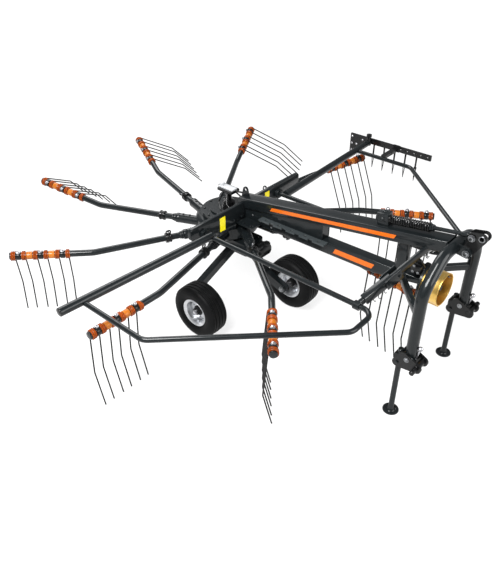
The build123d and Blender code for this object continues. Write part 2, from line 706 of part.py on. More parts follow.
# Chassis block under the hub, wheel legs, wheel shafts and wheels
with BuildPart() as chassis_block:
    with BuildSketch(Plane(origin=at(0, 0, CHASSIS_BOTTOM))):
        with Locations(((CHASSIS_REAR + CHASSIS_FRONT) / 2, (CHASSIS_RIGHT + CHASSIS_LEFT) / 2)):
            RectangleRounded(CHASSIS_FRONT - CHASSIS_REAR, CHASSIS_LEFT - CHASSIS_RIGHT, CHASSIS_CORNER)
    extrude(amount=chassis_top - CHASSIS_BOTTOM)
finish(chassis_block, "chassis_block")

for name, side, wheel_x, wheel_y, root_x, root_y in WHEELS:
    link_outer = wheel_y - side * (TYRE_WIDTH / 2 + WHEEL_SIDE_GAP)
    link_mid = link_outer - side * LINK_WIDTH / 2
    leg_start = at(root_x, root_y, WHEEL_LEG_ROOT)
    leg_end = at(wheel_x - LINK_LENGTH, link_mid, TYRE_RADIUS + LINK_RISE)
    with BuildPart() as wheel_leg:
        with BuildSketch(Plane(origin=leg_start, z_dir=leg_end - leg_start)):
            Rectangle(WHEEL_LEG_SIZE, WHEEL_LEG_SIZE)
        extrude(amount=(leg_end - leg_start).length)
        with BuildSketch(upright(link_mid)):
            with Locations((wheel_x, TYRE_RADIUS), (wheel_x - LINK_LENGTH, TYRE_RADIUS + LINK_RISE)):
                Circle(LINK_RADIUS)
            make_hull()
        extrude(amount=LINK_WIDTH / 2, both=True)
        add(chassis_block.part, mode=Mode.SUBTRACT)
    finish(wheel_leg, f"wheel_leg_{name}")

    with BuildPart() as wheel_shaft:
        round_bar(
            at(wheel_x, link_outer, TYRE_RADIUS),
            at(wheel_x, wheel_y + side * (WHEEL_HUB_HALF + WHEEL_SHAFT_END), TYRE_RADIUS),
            WHEEL_SHAFT_RADIUS,
        )
    finish(wheel_shaft, f"wheel_shaft_{name}")

    wheel_plane = Plane(origin=at(wheel_x, wheel_y, TYRE_RADIUS), x_dir=(0, side, 0), z_dir=(1, 0, 0))
    turn = Axis(wheel_plane.origin, (0, 1, 0))
    with BuildPart() as rim:
        with BuildSketch(wheel_plane):
            with BuildLine():
                Polyline(
                    (-RIM_HALF_WIDTH, RIM_FLANGE_RADIUS),
                    (-RIM_HALF_WIDTH, RIM_BARREL_RADIUS - RIM_WALL),
                    (RIM_DISH - RIM_WALL, RIM_BARREL_RADIUS - RIM_WALL),
                    (RIM_DISH - RIM_WALL, WHEEL_HUB_RADIUS),
                    (-WHEEL_HUB_HALF, WHEEL_HUB_RADIUS),
                    (-WHEEL_HUB_HALF, WHEEL_SHAFT_RADIUS + SHAFT_CLEARANCE),
                    (WHEEL_HUB_HALF, WHEEL_SHAFT_RADIUS + SHAFT_CLEARANCE),
                    (WHEEL_HUB_HALF, WHEEL_HUB_RADIUS),
                    (RIM_DISH, WHEEL_HUB_RADIUS),
                    (RIM_DISH, RIM_BARREL_RADIUS - RIM_WALL),
                    (RIM_HALF_WIDTH, RIM_BARREL_RADIUS - RIM_WALL),
                    (RIM_HALF_WIDTH, RIM_FLANGE_RADIUS),
                    (RIM_HALF_WIDTH - RIM_WALL, RIM_FLANGE_RADIUS),
                    (RIM_HALF_WIDTH - RIM_WALL, RIM_BARREL_RADIUS),
                    (RIM_WALL - RIM_HALF_WIDTH, RIM_BARREL_RADIUS),
                    (RIM_WALL - RIM_HALF_WIDTH, RIM_FLANGE_RADIUS),
                    close=True,
                )
            make_face()
        revolve(axis=turn)
    finish(rim, f"rim_{name}")

    bead_half = RIM_HALF_WIDTH - RIM_WALL - SEAT_GAP
    tyre_half = TYRE_WIDTH / 2
    with BuildPart() as tyre:
        with BuildSketch(wheel_plane):
            with BuildLine():
                Polyline(
                    (-bead_half, TYRE_BEAD_RADIUS),
                    (TYRE_BEAD_WIDTH - bead_half, TYRE_BEAD_RADIUS),
                    (TYRE_BEAD_WIDTH - bead_half, RIM_FLANGE_RADIUS + TYRE_BEAD_LIP),
                    (TYRE_WALL - tyre_half, TYRE_SIDE_RADIUS),
                    (TYRE_WALL - TYRE_TREAD_HALF, TYRE_RADIUS - TYRE_TREAD_WALL),
                    (TYRE_TREAD_HALF - TYRE_WALL, TYRE_RADIUS - TYRE_TREAD_WALL),
                    (tyre_half - TYRE_WALL, TYRE_SIDE_RADIUS),
                    (bead_half - TYRE_BEAD_WIDTH, RIM_FLANGE_RADIUS + TYRE_BEAD_LIP),
                    (bead_half - TYRE_BEAD_WIDTH, TYRE_BEAD_RADIUS),
                    (bead_half, TYRE_BEAD_RADIUS),
                    (bead_half, RIM_FLANGE_RADIUS + TYRE_BEAD_LIP),
                    (tyre_half, TYRE_SIDE_RADIUS),
                    (tyre_half - TYRE_CROWN, TYRE_RADIUS - TYRE_SHOULDER),
                    (TYRE_TREAD_HALF, TYRE_RADIUS),
                    (-TYRE_TREAD_HALF, TYRE_RADIUS),
                    (TYRE_CROWN - tyre_half, TYRE_RADIUS - TYRE_SHOULDER),
                    (-tyre_half, TYRE_SIDE_RADIUS),
                    (-bead_half, RIM_FLANGE_RADIUS + TYRE_BEAD_LIP),
                    close=True,
                )
            make_face()
            for groove in range(TYRE_GROOVES):
                with Locations(((groove - (TYRE_GROOVES - 1) / 2) * TYRE_GROOVE_PITCH, TYRE_RADIUS)):
                    Rectangle(TYRE_GROOVE_WIDTH, 2 * TYRE_GROOVE, mode=Mode.SUBTRACT)
        revolve(axis=turn)
    finish(tyre, f"tyre_{name}")

# Rotor hub with a boss for each tine arm
with BuildPart() as rotor_hub:
    with BuildSketch(Plane(origin=at(0, 0, HUB_BOTTOM))):
        Circle(HUB_RADIUS)
    extrude(amount=HUB_TOP - HUB_BOTTOM)
    chamfer(rotor_hub.edges().filter_by(GeomType.CIRCLE), HUB_EDGE)
    for name, azimuth, roll in ARMS:
        plane = arm_plane(azimuth, 0)
        round_bar(plane.origin, plane.from_local_coords(Vector(BOSS_FACE, 0, 0)), BOSS_RADIUS)
    round_bar(at(0, 0, HUB_BOTTOM), at(0, 0, HUB_TOP), AXLE_RADIUS + SHAFT_CLEARANCE, mode=Mode.SUBTRACT)
    with BuildSketch(Plane(origin=at(0, 0, HUB_BOTTOM))):
        Circle(HUB_CHAMBER_RADIUS)
        Circle(AXLE_RADIUS + HUB_SLEEVE_WALL, mode=Mode.SUBTRACT)
    extrude(amount=HUB_TOP - HUB_BOTTOM - HUB_LID, mode=Mode.SUBTRACT)
finish(rotor_hub, "rotor_hub")

# Tine arm along local X: socket end, bend and outer length, with the collar of its locking pin
bend = Vector(ARM_BEND_PLACE, 0, 0)
outer_way = Vector(cos(radians(ARM_BEND_ANGLE)), sin(radians(ARM_BEND_ANGLE)), 0)
arm_end = bend + outer_way * ARM_OUTER_LENGTH
with BuildPart() as arm_shape:
    bent_tube([Vector(BOSS_FACE, 0, 0), bend, arm_end], ARM_BEND_RADIUS, ARM_RADIUS, ARM_RADIUS - ARM_WALL)
    round_bar(arm_end - outer_way * ARM_CAP, arm_end, ARM_RADIUS)
    collar_inner = Vector(COLLAR_PLACE - COLLAR_LENGTH / 2, 0, 0)
    round_bar(collar_inner, collar_inner + Vector(COLLAR_LENGTH, 0, 0), COLLAR_RADIUS)

# Double tine about local X: two coils, the clamp between them and two kneed wires along local Z
tine_drop = ARM_HEIGHT - TINE_TIP_HEIGHT
coil_bore = ARM_RADIUS + SEAT_GAP
wire_out = (COIL_RADIUS + ARM_RADIUS) / 2
with BuildPart() as double_tine:
    for x in (-TINE_PITCH / 2, TINE_PITCH / 2):
        round_bar(Vector(x - COIL_LENGTH / 2, 0, 0), Vector(x + COIL_LENGTH / 2, 0, 0), COIL_RADIUS)
        bent_tube(
            [Vector(x, wire_out, 0), Vector(x, TINE_KNEE_OUT, TINE_KNEE_DROP), Vector(x, 0, tine_drop)],
            TINE_KNEE_RADIUS,
            TINE_WIRE_RADIUS,
        )
    round_bar(Vector(-TINE_PITCH / 2, 0, 0), Vector(TINE_PITCH / 2, 0, 0), CLAMP_RADIUS)
    round_bar(Vector(-TINE_PITCH, 0, 0), Vector(TINE_PITCH, 0, 0), coil_bore, mode=Mode.SUBTRACT)

last_group = ARM_OUTER_LENGTH - TINE_END_MARGIN - TINE_PITCH / 2
for name, azimuth, roll in ARMS:
    plane = arm_plane(azimuth, roll)
    with BuildPart(plane) as tine_arm:
        add(arm_shape.part)
        for group in range(TINE_GROUPS):
            place = bend + outer_way * (last_group - group * TINE_GROUP_PITCH)
            with Locations(Plane(origin=place, x_dir=outer_way, z_dir=(0, 0, 1))):
                add(double_tine.part)
    finish(tine_arm, f"tine_arm_{name}")

# Side guards: the swept tube and the hoop whose straight rod is the hinge
tube_z = GUARD_Z + GUARD_TUBE_RADIUS - GUARD_RAIL_RADIUS
rod_rear = LATERAL_FRONT + SEAT_GAP
for name, sign, hinge_y, rail_y, bend_y, tube_end_y in SIDES:
    tube_inner = at(GUARD_TUBE_X, hinge_y, tube_z)
    tube_outer = at(GUARD_TUBE_X - GUARD_TUBE_SWEEP, tube_end_y, tube_z)
    rod_start = at(rod_rear, hinge_y, GUARD_Z)
    rod_front = at(GUARD_FRONT, hinge_y, GUARD_Z)
    rail_share = (rail_y - hinge_y) / (tube_end_y - hinge_y)
    rail_x = GUARD_TUBE_X - GUARD_TUBE_SWEEP * rail_share
    with BuildPart() as guard_tube:
        with BuildSketch(Plane(origin=tube_outer, x_dir=(1, 0, 0), z_dir=(0, -sign, 0))):
            Circle(GUARD_TUBE_RADIUS)
        extrude(amount=(tube_outer - tube_inner).length, dir=tube_inner - tube_outer)
        round_bar(rod_start, rod_front, GUARD_RAIL_RADIUS, mode=Mode.SUBTRACT)
    finish(guard_tube, f"guard_tube_{name}")

    with BuildPart() as guard_hoop:
        bent_tube(
            [
                at(rail_x, rail_y, GUARD_Z),
                at(GUARD_BEND_X, rail_y, GUARD_Z),
                at(GUARD_FRONT, bend_y, GUARD_Z),
                rod_front,
                rod_start,
            ],
            GUARD_BEND,
            GUARD_RAIL_RADIUS,
        )
        add(guard_tube.part, mode=Mode.SUBTRACT)
    finish(guard_hoop, f"guard_hoop_{name}")

    clamp_rear = at(CLAMP_PLACE - CLAMP_RING_LENGTH / 2, hinge_y, GUARD_Z)
    clamp_front = at(CLAMP_PLACE + CLAMP_RING_LENGTH / 2, hinge_y, GUARD_Z)
    strut_seat = upper_beam_bottom(STRUT_TOP_X) + STRUT_TOP_DEPTH
    strut_top = at(STRUT_TOP_X, sign * STRUT_TOP_OFFSET, strut_seat)
    strut_low = at(CLAMP_PLACE, hinge_y, GUARD_Z)
    strut_way = (strut_top - strut_low).normalized()
    strut_plane = Plane(origin=strut_low, x_dir=strut_way.cross(Vector(0, 0, 1)), z_dir=strut_way)
    box_end = STRUT_BOX_START + STRUT_BOX_LENGTH
    with BuildPart() as guard_strut:
        with BuildSketch(strut_plane):
            Rectangle(STRUT_BAR_WIDTH, STRUT_BAR_HEIGHT)
        extrude(amount=(strut_top - strut_low).length)
        with BuildSketch(strut_plane.offset(STRUT_BOX_START)):
            Rectangle(STRUT_BOX_WIDTH, STRUT_BOX_HEIGHT)
        extrude(amount=STRUT_BOX_LENGTH)
        with BuildSketch(strut_plane.offset(box_end - FORK_LENGTH / 2)):
            Rectangle(STRUT_BOX_WIDTH + 2 * FORK_PLATE, FORK_HEIGHT)
            Rectangle(STRUT_BOX_WIDTH, FORK_HEIGHT, mode=Mode.SUBTRACT)
        extrude(amount=FORK_LENGTH)
        round_bar(clamp_rear, clamp_front, CLAMP_RING_RADIUS)
        round_bar(rod_start, rod_front, GUARD_RAIL_RADIUS + SHAFT_CLEARANCE, mode=Mode.SUBTRACT)
        add(upper_beam.part, mode=Mode.SUBTRACT)
    finish(guard_strut, f"guard_strut_{name}")

    if name == "left":
        carrier_inner = tube_end_y
        with BuildPart() as curtain_carrier:
            with BuildSketch(upright(carrier_inner + CARRIER_THICKNESS / 2)):
                with Locations((CARRIER_REAR + CARRIER_LENGTH / 2, CARRIER_LEVEL + CARRIER_HEIGHT / 2)):
                    Rectangle(CARRIER_LENGTH, CARRIER_HEIGHT)
                for hole in range(CARRIER_HOLES):
                    hole_x = CARRIER_REAR + CARRIER_LENGTH - (hole + 0.5) * CARRIER_HOLE_PITCH
                    with Locations((hole_x, CARRIER_LEVEL + CARRIER_HEIGHT / 2)):
                        Circle(CARRIER_HOLE_RADIUS, mode=Mode.SUBTRACT)
                Polygon(
                    (CARRIER_REAR, CARRIER_LEVEL),
                    (CARRIER_REAR + END_PLATE_LENGTH, CARRIER_LEVEL),
                    (CARRIER_REAR, CARRIER_LEVEL - END_PLATE_HEIGHT),
                    align=None,
                )
            extrude(amount=CARRIER_THICKNESS / 2, both=True)
            with BuildSketch(Plane(origin=at(0, 0, CARRIER_BRACKET_LEVEL))):
                with Locations((CARRIER_BRACKET_X, (rail_y + carrier_inner) / 2)):
                    Rectangle(CARRIER_BRACKET_WIDTH, carrier_inner - rail_y)
            extrude(amount=CARRIER_BRACKET_THICKNESS)
            add(guard_hoop.part, mode=Mode.SUBTRACT)
        finish(curtain_carrier, "curtain_carrier")

        with BuildPart() as curtain_hooks:
            with BuildSketch(upright(carrier_inner + CARRIER_THICKNESS)):
                for hook in range(HOOKS):
                    with Locations((HOOK_REAR + hook * HOOK_PITCH, (HOOK_TOP + HOOK_BOTTOM) / 2)):
                        Rectangle(HOOK_WIDTH, HOOK_TOP - HOOK_BOTTOM)
            extrude(amount=-HOOK_THICKNESS)
        finish(curtain_hooks, "curtain_hooks")
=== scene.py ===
import json
from math import atan2, cos, pi, radians, sin

import bmesh
import bpy
from mathutils import Matrix, Vector


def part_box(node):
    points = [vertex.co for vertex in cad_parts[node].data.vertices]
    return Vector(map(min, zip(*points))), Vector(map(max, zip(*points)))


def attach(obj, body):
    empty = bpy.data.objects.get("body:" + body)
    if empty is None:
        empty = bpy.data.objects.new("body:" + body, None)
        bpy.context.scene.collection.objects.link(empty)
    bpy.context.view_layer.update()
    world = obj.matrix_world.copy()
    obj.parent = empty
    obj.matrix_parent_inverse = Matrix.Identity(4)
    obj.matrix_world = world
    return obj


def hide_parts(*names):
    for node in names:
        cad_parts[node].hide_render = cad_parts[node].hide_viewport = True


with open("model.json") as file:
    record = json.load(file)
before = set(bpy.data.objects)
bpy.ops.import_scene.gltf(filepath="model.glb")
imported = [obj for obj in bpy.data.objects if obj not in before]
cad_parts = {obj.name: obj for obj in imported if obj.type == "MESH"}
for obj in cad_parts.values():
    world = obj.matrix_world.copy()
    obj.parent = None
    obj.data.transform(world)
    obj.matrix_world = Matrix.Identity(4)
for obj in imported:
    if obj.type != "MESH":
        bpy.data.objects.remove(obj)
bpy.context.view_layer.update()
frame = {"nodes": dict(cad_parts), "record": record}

# Places are metres from the rotor's axis at ground level: X forward, Y left, Z up.
axle_low, axle_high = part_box("rotor_axle")
ROTOR = Vector(((axle_low[0] + axle_high[0]) / 2, (axle_low[1] + axle_high[1]) / 2, 0))

# Tine arms
ARM_HEIGHT = 0.545
ARM_OFFSET = 0.086
ARM_RADIUS = 0.021
ARM_ROOT = 0.320
ARM_BEND_PLACE = 0.944
ARM_BEND_ANGLE = radians(12.4)
ARM_BEND_RADIUS = 0.220
ARM_OUTER_LENGTH = 0.506
COLLAR_PLACE = 0.450
TINE_PITCH = 0.062
TINE_GROUP_PITCH = 0.133
TINE_END_MARGIN = 0.020
COIL_RADIUS = 0.031
COIL_LENGTH = 0.034
SLEEVE_RADIUS = 0.0245
CLAMP_RADIUS = 0.0265
WIRE_RADIUS = 0.0045
TINE_DROP = 0.530
KNEE_DROP = 0.310
KNEE_OUT = 0.052
KNEE_RADIUS = 0.05
TINE_GROUPS = 3

# Arms in the order that they stand around the rotor: name, azimuth and roll in degrees
ARMS = (
    ("1", 243, 16),
    ("2", 283, 0),
    ("3", 323, 0),
    ("4", 3, 0),
    ("5", 43, 0),
    ("6", 83, 20),
    ("7", 123, 60),
    ("8", 163, 57),
    ("9", 203, 57),
)

# Wheels: name, side that the shaft points to, X and Y of the tyre's middle
WHEELS = (("right", -1, 0.237, -0.528), ("left", 1, 0.501, 0.122))
TYRE_RADIUS = 0.185
STUDS = 5
STUD_CIRCLE = 0.047

# Beams
PLATE_TOP = 0.643
LOWER_WIDTH = 0.070
LOWER_HEIGHT = 0.082
LOWER_LEVEL = 0.625
LOWER_LEVEL_PLACE = 0.500
LOWER_SLOPE = 0.015
LOWER_REAR = 0.090
LOWER_SEAT = 0.335
LOWER_TAPER = 1.180
LOWER_FRONT = 1.490
LOWER_END_HEIGHT = 0.034
UPPER_WIDTH = 0.100
UPPER_HEIGHT = 0.070
UPPER_TOP = 0.785
UPPER_TOP_PLACE = 0.180
UPPER_SLOPE = 0.1615
UPPER_REAR = 0.140
UPPER_FRONT = 1.5878
GUSSET_FRONT = 0.815
POST_REAR = 1.310
POST_FRONT = 1.370
POST_WIDTH = 0.052
BEAM_EYE = (0.171, 0.8265)
EYE_RADIUS = 0.020
EYE_BORE = 0.011
EYE_THICKNESS = 0.012
FILM_THICKNESS = 0.0008

# Lateral arms and side guards: side, sign of Y, hinge Y
SIDES = (("right", -1, -0.430), ("left", 1, 0.300))
LATERAL_FRONT = 0.200
LATERAL_THICKNESS = 0.024
LATERAL_HEIGHT = 0.122
LATERAL_KNEE = 0.290
LATERAL_REACH = 0.540
LATERAL_RISE = 0.044
GUARD_HEIGHT = 0.697
HINGE_BORE = 0.0153
CLAMP_PLACE = 1.327
STRUT_TOP = (1.490, 0.020, 0.9386)
TUBE_END = (0.208, -1.495, 0.707)

# Headstock, rocker and spring
HEADSTOCK_X = 1.620
LEG_Y = 0.314
BRACE_LEVEL = 0.680
BRACE_HEIGHT = 0.039
BRACE_FOOT = (1.337, 1.381)
BRACE_HALF_WIDTH = 0.022
PIVOT = (1.689, 0.978)
ROD_EYE = (1.697, 1.0685)
TOP_LINK = (1.747, 1.079)
ROCKER_FACE = 0.026
PIVOT_FACE = 0.041
ROD_EYE_FACE = 0.031
SPRING_REAR = 1.235
SPRING_LENGTH = 0.236
SPRING_RIDE = 0.038
SPRING_PLATE = 0.004
SPRING_COIL = 0.0213
SPRING_TURNS = 16
SPRING_WIRE = 0.0046
ROD_RADIUS = 0.011

# Hitch, stands and drive
HITCH_INNER = 0.270
HITCH_OUTER = 0.358
HITCH_PIN = (1.677, 0.406)
STAND = (1.566, 0.326)
DRIVE_FACE = 1.504
DRIVE_HEIGHT = 0.695
DRIVE_BOLT_CIRCLE = 0.1015
DRUM_BORE = 0.0912
SPLINES = 8
KNOB_RADIUS = 0.0145
SPINDLE_X = 0.015

# Curtain on the left guard
CARRIER_FACE = 1.455
HOOK_PLACES = tuple(0.251 + 0.095 * hook for hook in range(5))
HOOK_Y = 1.474


def at(x, y, z):
    """Point measured from the rotor's axis at ground level."""
    return ROTOR + Vector((x, y, z))


def placed(x, y, z):
    """Matrix that moves a shape to such a point."""
    return Matrix.Translation(at(x, y, z))


def aim(start, way, across=None):
    """Matrix that puts local Z along way at start, with local X as near to across as it can be."""
    z = Vector(way).normalized()
    x = Vector(across) if across is not None else z.orthogonal()
    x = (x - z * x.dot(z)).normalized()
    return Matrix.Translation(start) @ Matrix((x, z.cross(x), z)).transposed().to_4x4()


def upright(y):
    """Matrix of a side view at y: local X forward, local Y up."""
    return placed(0, y, 0) @ Matrix(((1, 0, 0), (0, 0, -1), (0, 1, 0))).to_4x4()


def frontal(x):
    """Matrix of a front view at x: local X to the left, local Y up."""
    return placed(x, 0, 0) @ Matrix(((0, 0, 1), (1, 0, 0), (0, 1, 0))).to_4x4()


def lower_bottom(x):
    return LOWER_LEVEL + LOWER_SLOPE * (x - LOWER_LEVEL_PLACE)


def lower_top(x):
    return lower_bottom(x) + LOWER_HEIGHT


def upper_top(x):
    return UPPER_TOP + UPPER_SLOPE * (x - UPPER_TOP_PLACE)


def upper_bottom(x):
    return upper_top(x) - UPPER_HEIGHT


def fine(points, step=0.004):
    """Line through the points with a point at every step."""
    line = []
    for start, end in zip(points, points[1:]):
        start, end = Vector(start), Vector(end)
        count = max(1, round((end - start).length / step))
        line += [start.lerp(end, part / count) for part in range(count)]
    return line + [Vector(points[-1])]


def ray_reach(ray, start, end):
    """Distance along a flat ray from the origin to a side, or None where it misses."""
    side = end - start
    spread = ray.cross(side)
    if abs(spread) < 1e-9:
        return None
    reach = start.cross(side) / spread
    share = start.cross(ray) / spread
    return reach if reach > 0 and -1e-6 <= share <= 1 + 1e-6 else None


def rounded(points, radius, steps=6):
    """Points of a line whose corners are arcs of the given radius."""
    line = [Vector(points[0])]
    for before, corner, after in zip(points, points[1:], points[2:]):
        corner = Vector(corner)
        to_before = (Vector(before) - corner).normalized()
        to_after = (Vector(after) - corner).normalized()
        half = to_before.angle(to_after) / 2
        reach = radius * cos(half) / sin(half)
        start = corner + to_before * reach
        centre = corner + (to_before + to_after).normalized() * (radius / sin(half))
        spoke = start - centre
        turn = to_before.cross(to_after).normalized()
        for step in range(steps + 1):
            line.append(centre + Matrix.Rotation((2 * half - pi) * step / steps, 3, turn) @ spoke)
    return line + [Vector(points[-1])]


def bevel(part, edges, width, segments=2):
    """Round the given edges of a small mesh."""
    bmesh.ops.bevel(
        part, geom=edges, offset=width, segments=segments, profile=0.5, affect="EDGES", material=-1
    )


class Shape:
    """A mesh in the making."""

    def __init__(self):
        self.bm = bmesh.new()

    def join(self, part, matrix=None):
        """Add a small mesh that was made by itself."""
        bmesh.ops.recalc_face_normals(part, faces=part.faces)
        self.take(part, matrix)

    def stamp(self, master, matrix):
        """Add a placed copy of a finished shape."""
        self.take(master.bm.copy(), matrix)

    def take(self, part, matrix):
        """Place a small mesh and move it into this one."""
        if matrix is not None:
            bmesh.ops.transform(part, matrix=matrix, verts=part.verts)
        carrier = bpy.data.meshes.new("carrier")
        part.to_mesh(carrier)
        part.free()
        self.bm.from_mesh(carrier)
        bpy.data.meshes.remove(carrier)

    def rod(self, start, end, radius, end_radius=None, sides=24, edge=0.0):
        """Round bar, tapered where an end radius is given, with bevelled rims."""
        part = bmesh.new()
        way = Vector(end) - Vector(start)
        bmesh.ops.create_cone(
            part,
            cap_ends=True,
            segments=sides,
            radius1=radius,
            radius2=radius if end_radius is None else end_radius,
            depth=way.length,
        )
        if edge:
            rims = [e for e in part.edges if abs(e.verts[0].co.z - e.verts[1].co.z) < 1e-6]
            bevel(part, rims, edge)
        self.join(part, aim((Vector(start) + Vector(end)) / 2, way))

    def block(self, matrix, size, edge=0.002):
        """Box with bevelled edges, centred on the matrix."""
        part = bmesh.new()
        bmesh.ops.create_cube(part, size=1)
        bmesh.ops.scale(part, vec=size, verts=part.verts)
        bevel(part, part.edges[:], edge)
        self.join(part, matrix)

    def plate(self, matrix, outline, thickness, edge=0.001, rounds=1):
        """Flat plate of an outline in local X and Y, thickened to both sides."""
        part = bmesh.new()
        corners = [part.verts.new((x, y, -thickness / 2)) for x, y in outline]
        face = part.faces.new(corners)
        grown = bmesh.ops.extrude_face_region(part, geom=[face])["geom"]
        top = [v for v in grown if isinstance(v, bmesh.types.BMVert)]
        bmesh.ops.translate(part, vec=(0, 0, thickness), verts=top)
        if edge:
            bevel(part, part.edges[:], edge, rounds)
        self.join(part, matrix)

    def eye_plate(self, matrix, outline, centre, hole, thickness, steps=32):
        """Flat plate with a round hole, whose outline is seen whole from the hole's middle."""
        corners = [Vector(corner) - Vector(centre) for corner in outline]
        turns = {atan2(corner.y, corner.x) for corner in corners}
        turns |= {2 * pi * k / steps - pi for k in range(steps)}
        part = bmesh.new()
        rings = []
        for turn in sorted(turns):
            ray = Vector((cos(turn), sin(turn)))
            reaches = [ray_reach(ray, a, b) for a, b in zip(corners, corners[1:] + corners[:1])]
            rim = ray * min(reach for reach in reaches if reach)
            spots = ((ray * hole, -0.5), (rim, -0.5), (rim, 0.5), (ray * hole, 0.5))
            places = [(*(spot + Vector(centre)), level * thickness) for spot, level in spots]
            rings.append([part.verts.new(place) for place in places])
        for ring, following in zip(rings, rings[1:] + rings[:1]):
            for k in range(4):
                part.faces.new((ring[k], ring[(k + 1) % 4], following[(k + 1) % 4], following[k]))
        self.join(part, matrix)

    def turned(self, profile, matrix, steps=72):
        """Body turned about local Z from a line of radius and height."""
        part = bmesh.new()
        line = [part.verts.new((radius, 0, height)) for radius, height in profile]
        edges = [part.edges.new(pair) for pair in zip(line, line[1:])]
        bmesh.ops.spin(
            part, geom=line + edges, cent=(0, 0, 0), axis=(0, 0, 1), angle=2 * pi, steps=steps, use_merge=True
        )
        bmesh.ops.remove_doubles(part, verts=part.verts, dist=1e-6)
        self.join(part, matrix)

    def pipe(self, points, radius, sides=12, matrix=None, ripple=0.0):
        """Round wire or tube along a line of points, rippled like a weld or a thread where that is asked."""
        part = bmesh.new()
        across = (Vector(points[1]) - Vector(points[0])).orthogonal()
        rings = []
        last = len(points) - 1
        for place, point in enumerate(points):
            way = Vector(points[min(place + 1, last)]) - Vector(points[max(place - 1, 0)])
            turn = aim(point, way, across)
            across = turn.to_3x3().col[0]
            swell = 1 + ripple * (-1) ** place
            ring = bmesh.ops.create_circle(
                part, cap_ends=place in (0, last), segments=sides, radius=radius * swell, matrix=turn
            )["verts"]
            rings.append({edge for vert in ring for edge in vert.link_edges})
        for ring, following in zip(rings, rings[1:]):
            bmesh.ops.bridge_loops(part, edges=list(ring | following))
        self.join(part, matrix)

    def bolt(self, place, way, size):
        """Hexagon head with its washer, standing on place."""
        place, way = Vector(place), Vector(way).normalized()
        self.rod(place, place + way * size * 0.16, size * 1.15, sides=20)
        self.rod(place + way * size * 0.1, place + way * size * 0.8, size * 0.9, sides=6, edge=size * 0.08)

    def dome(self, place, way, radius):
        """Round-headed bolt on a washer, standing on place."""
        rise = [(radius * cos(k * pi / 12), radius * (0.25 + 0.6 * sin(k * pi / 12))) for k in range(7)]
        washer = [(0, 0), (radius * 1.35, 0), (radius * 1.35, radius * 0.2), (radius, radius * 0.25)]
        self.turned(washer + rise[1:], aim(place, way), 20)

    def bush(self, place, way, bore, radius, length):
        """Bush with an open bore, standing on place."""
        edge = min(0.0015, length / 4)
        profile = [(bore, 0), (radius - edge, 0), (radius, edge), (radius, length - edge)]
        profile += [(radius - edge, length), (bore, length), (bore, 0)]
        self.turned(profile, aim(place, way), 32)

    def weld(self, points, radius=0.0035):
        """Bead of weld along a line of points."""
        self.pipe(fine(points), radius, 6, ripple=0.16)

    def piece(self, name, body, look, slot, nodes=(), crease=40):
        """Finish the shape as an object that rides on a body and stands for nodes."""
        mesh = bpy.data.meshes.new(name)
        self.bm.to_mesh(mesh)
        self.bm.free()
        mesh.shade_smooth()
        mesh.set_sharp_from_angle(angle=radians(crease))
        mesh.materials.append(look.material)
        thing = bpy.data.objects.new(name, mesh)
        bpy.context.collection.objects.link(thing)
        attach(thing, body)
        if nodes:
            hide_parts(*nodes)


class Value:
    """A number on a material's wires: sums and products with it add Math nodes."""

    def __init__(self, look, socket):
        self.look = look
        self.socket = socket

    def math(self, operation, first, second):
        return self.look.node("ShaderNodeMath", {"operation": operation}, {0: first, 1: second})

    def __add__(self, other):
        return self.math("ADD", self, other)

    def __mul__(self, other):
        return self.math("MULTIPLY", self, other)


class Look:
    """A material in the making, with its shader and output."""

    def __init__(self, name):
        self.material = bpy.data.materials.new(name)
        self.material.use_nodes = True
        self.tree = self.material.node_tree
        self.tree.nodes.clear()
        self.shader = self.tree.nodes.new("ShaderNodeBsdfPrincipled")
        output = self.tree.nodes.new("ShaderNodeOutputMaterial")
        self.tree.links.new(self.shader.outputs[0], output.inputs["Surface"])

    def feed(self, socket, value):
        """Set or link one socket."""
        if isinstance(value, Value):
            self.tree.links.new(value.socket, socket)
        else:
            socket.default_value = value

    def node(self, kind, settings, sockets, out=0):
        """Add a node: its settings come first, then the values or links of its sockets."""
        made = self.tree.nodes.new(kind)
        for key, value in settings.items():
            setattr(made, key, value)
        for key, value in sockets.items():
            self.feed(made.inputs[key], value)
        return Value(self, made.outputs[out])

    def set(self, **values):
        """Set the shader's sockets, named with underscores."""
        for key, value in values.items():
            self.feed(self.shader.inputs[key.replace("_", " ")], value)

    def place(self):
        """Place on the object, in its own axes."""
        return self.node("ShaderNodeTexCoord", {}, {}, "Object")

    def noise(self, scale, detail, roughness=0.55):
        """Noise that stays with the object."""
        return self.node(
            "ShaderNodeTexNoise",
            {},
            {"Vector": self.place(), "Scale": scale, "Detail": detail, "Roughness": roughness},
        )

    def span(self, value, low, high):
        """Stretch low..high of a value to 0..1, clamped."""
        return self.node("ShaderNodeMapRange", {"clamp": True}, {0: value, 1: low, 2: high, 3: 0.0, 4: 1.0})

    def mix(self, factor, first, second):
        """Mix two colours."""
        return self.node("ShaderNodeMix", {"data_type": "RGBA"}, {0: factor, 6: first, 7: second}, 2)

    def bump(self, height, strength, distance):
        """Normal that a small height gives."""
        return self.node(
            "ShaderNodeBump", {}, {"Height": height, "Strength": strength, "Distance": distance}, "Normal"
        )


def rgb(red, green, blue):
    return (red, green, blue, 1.0)


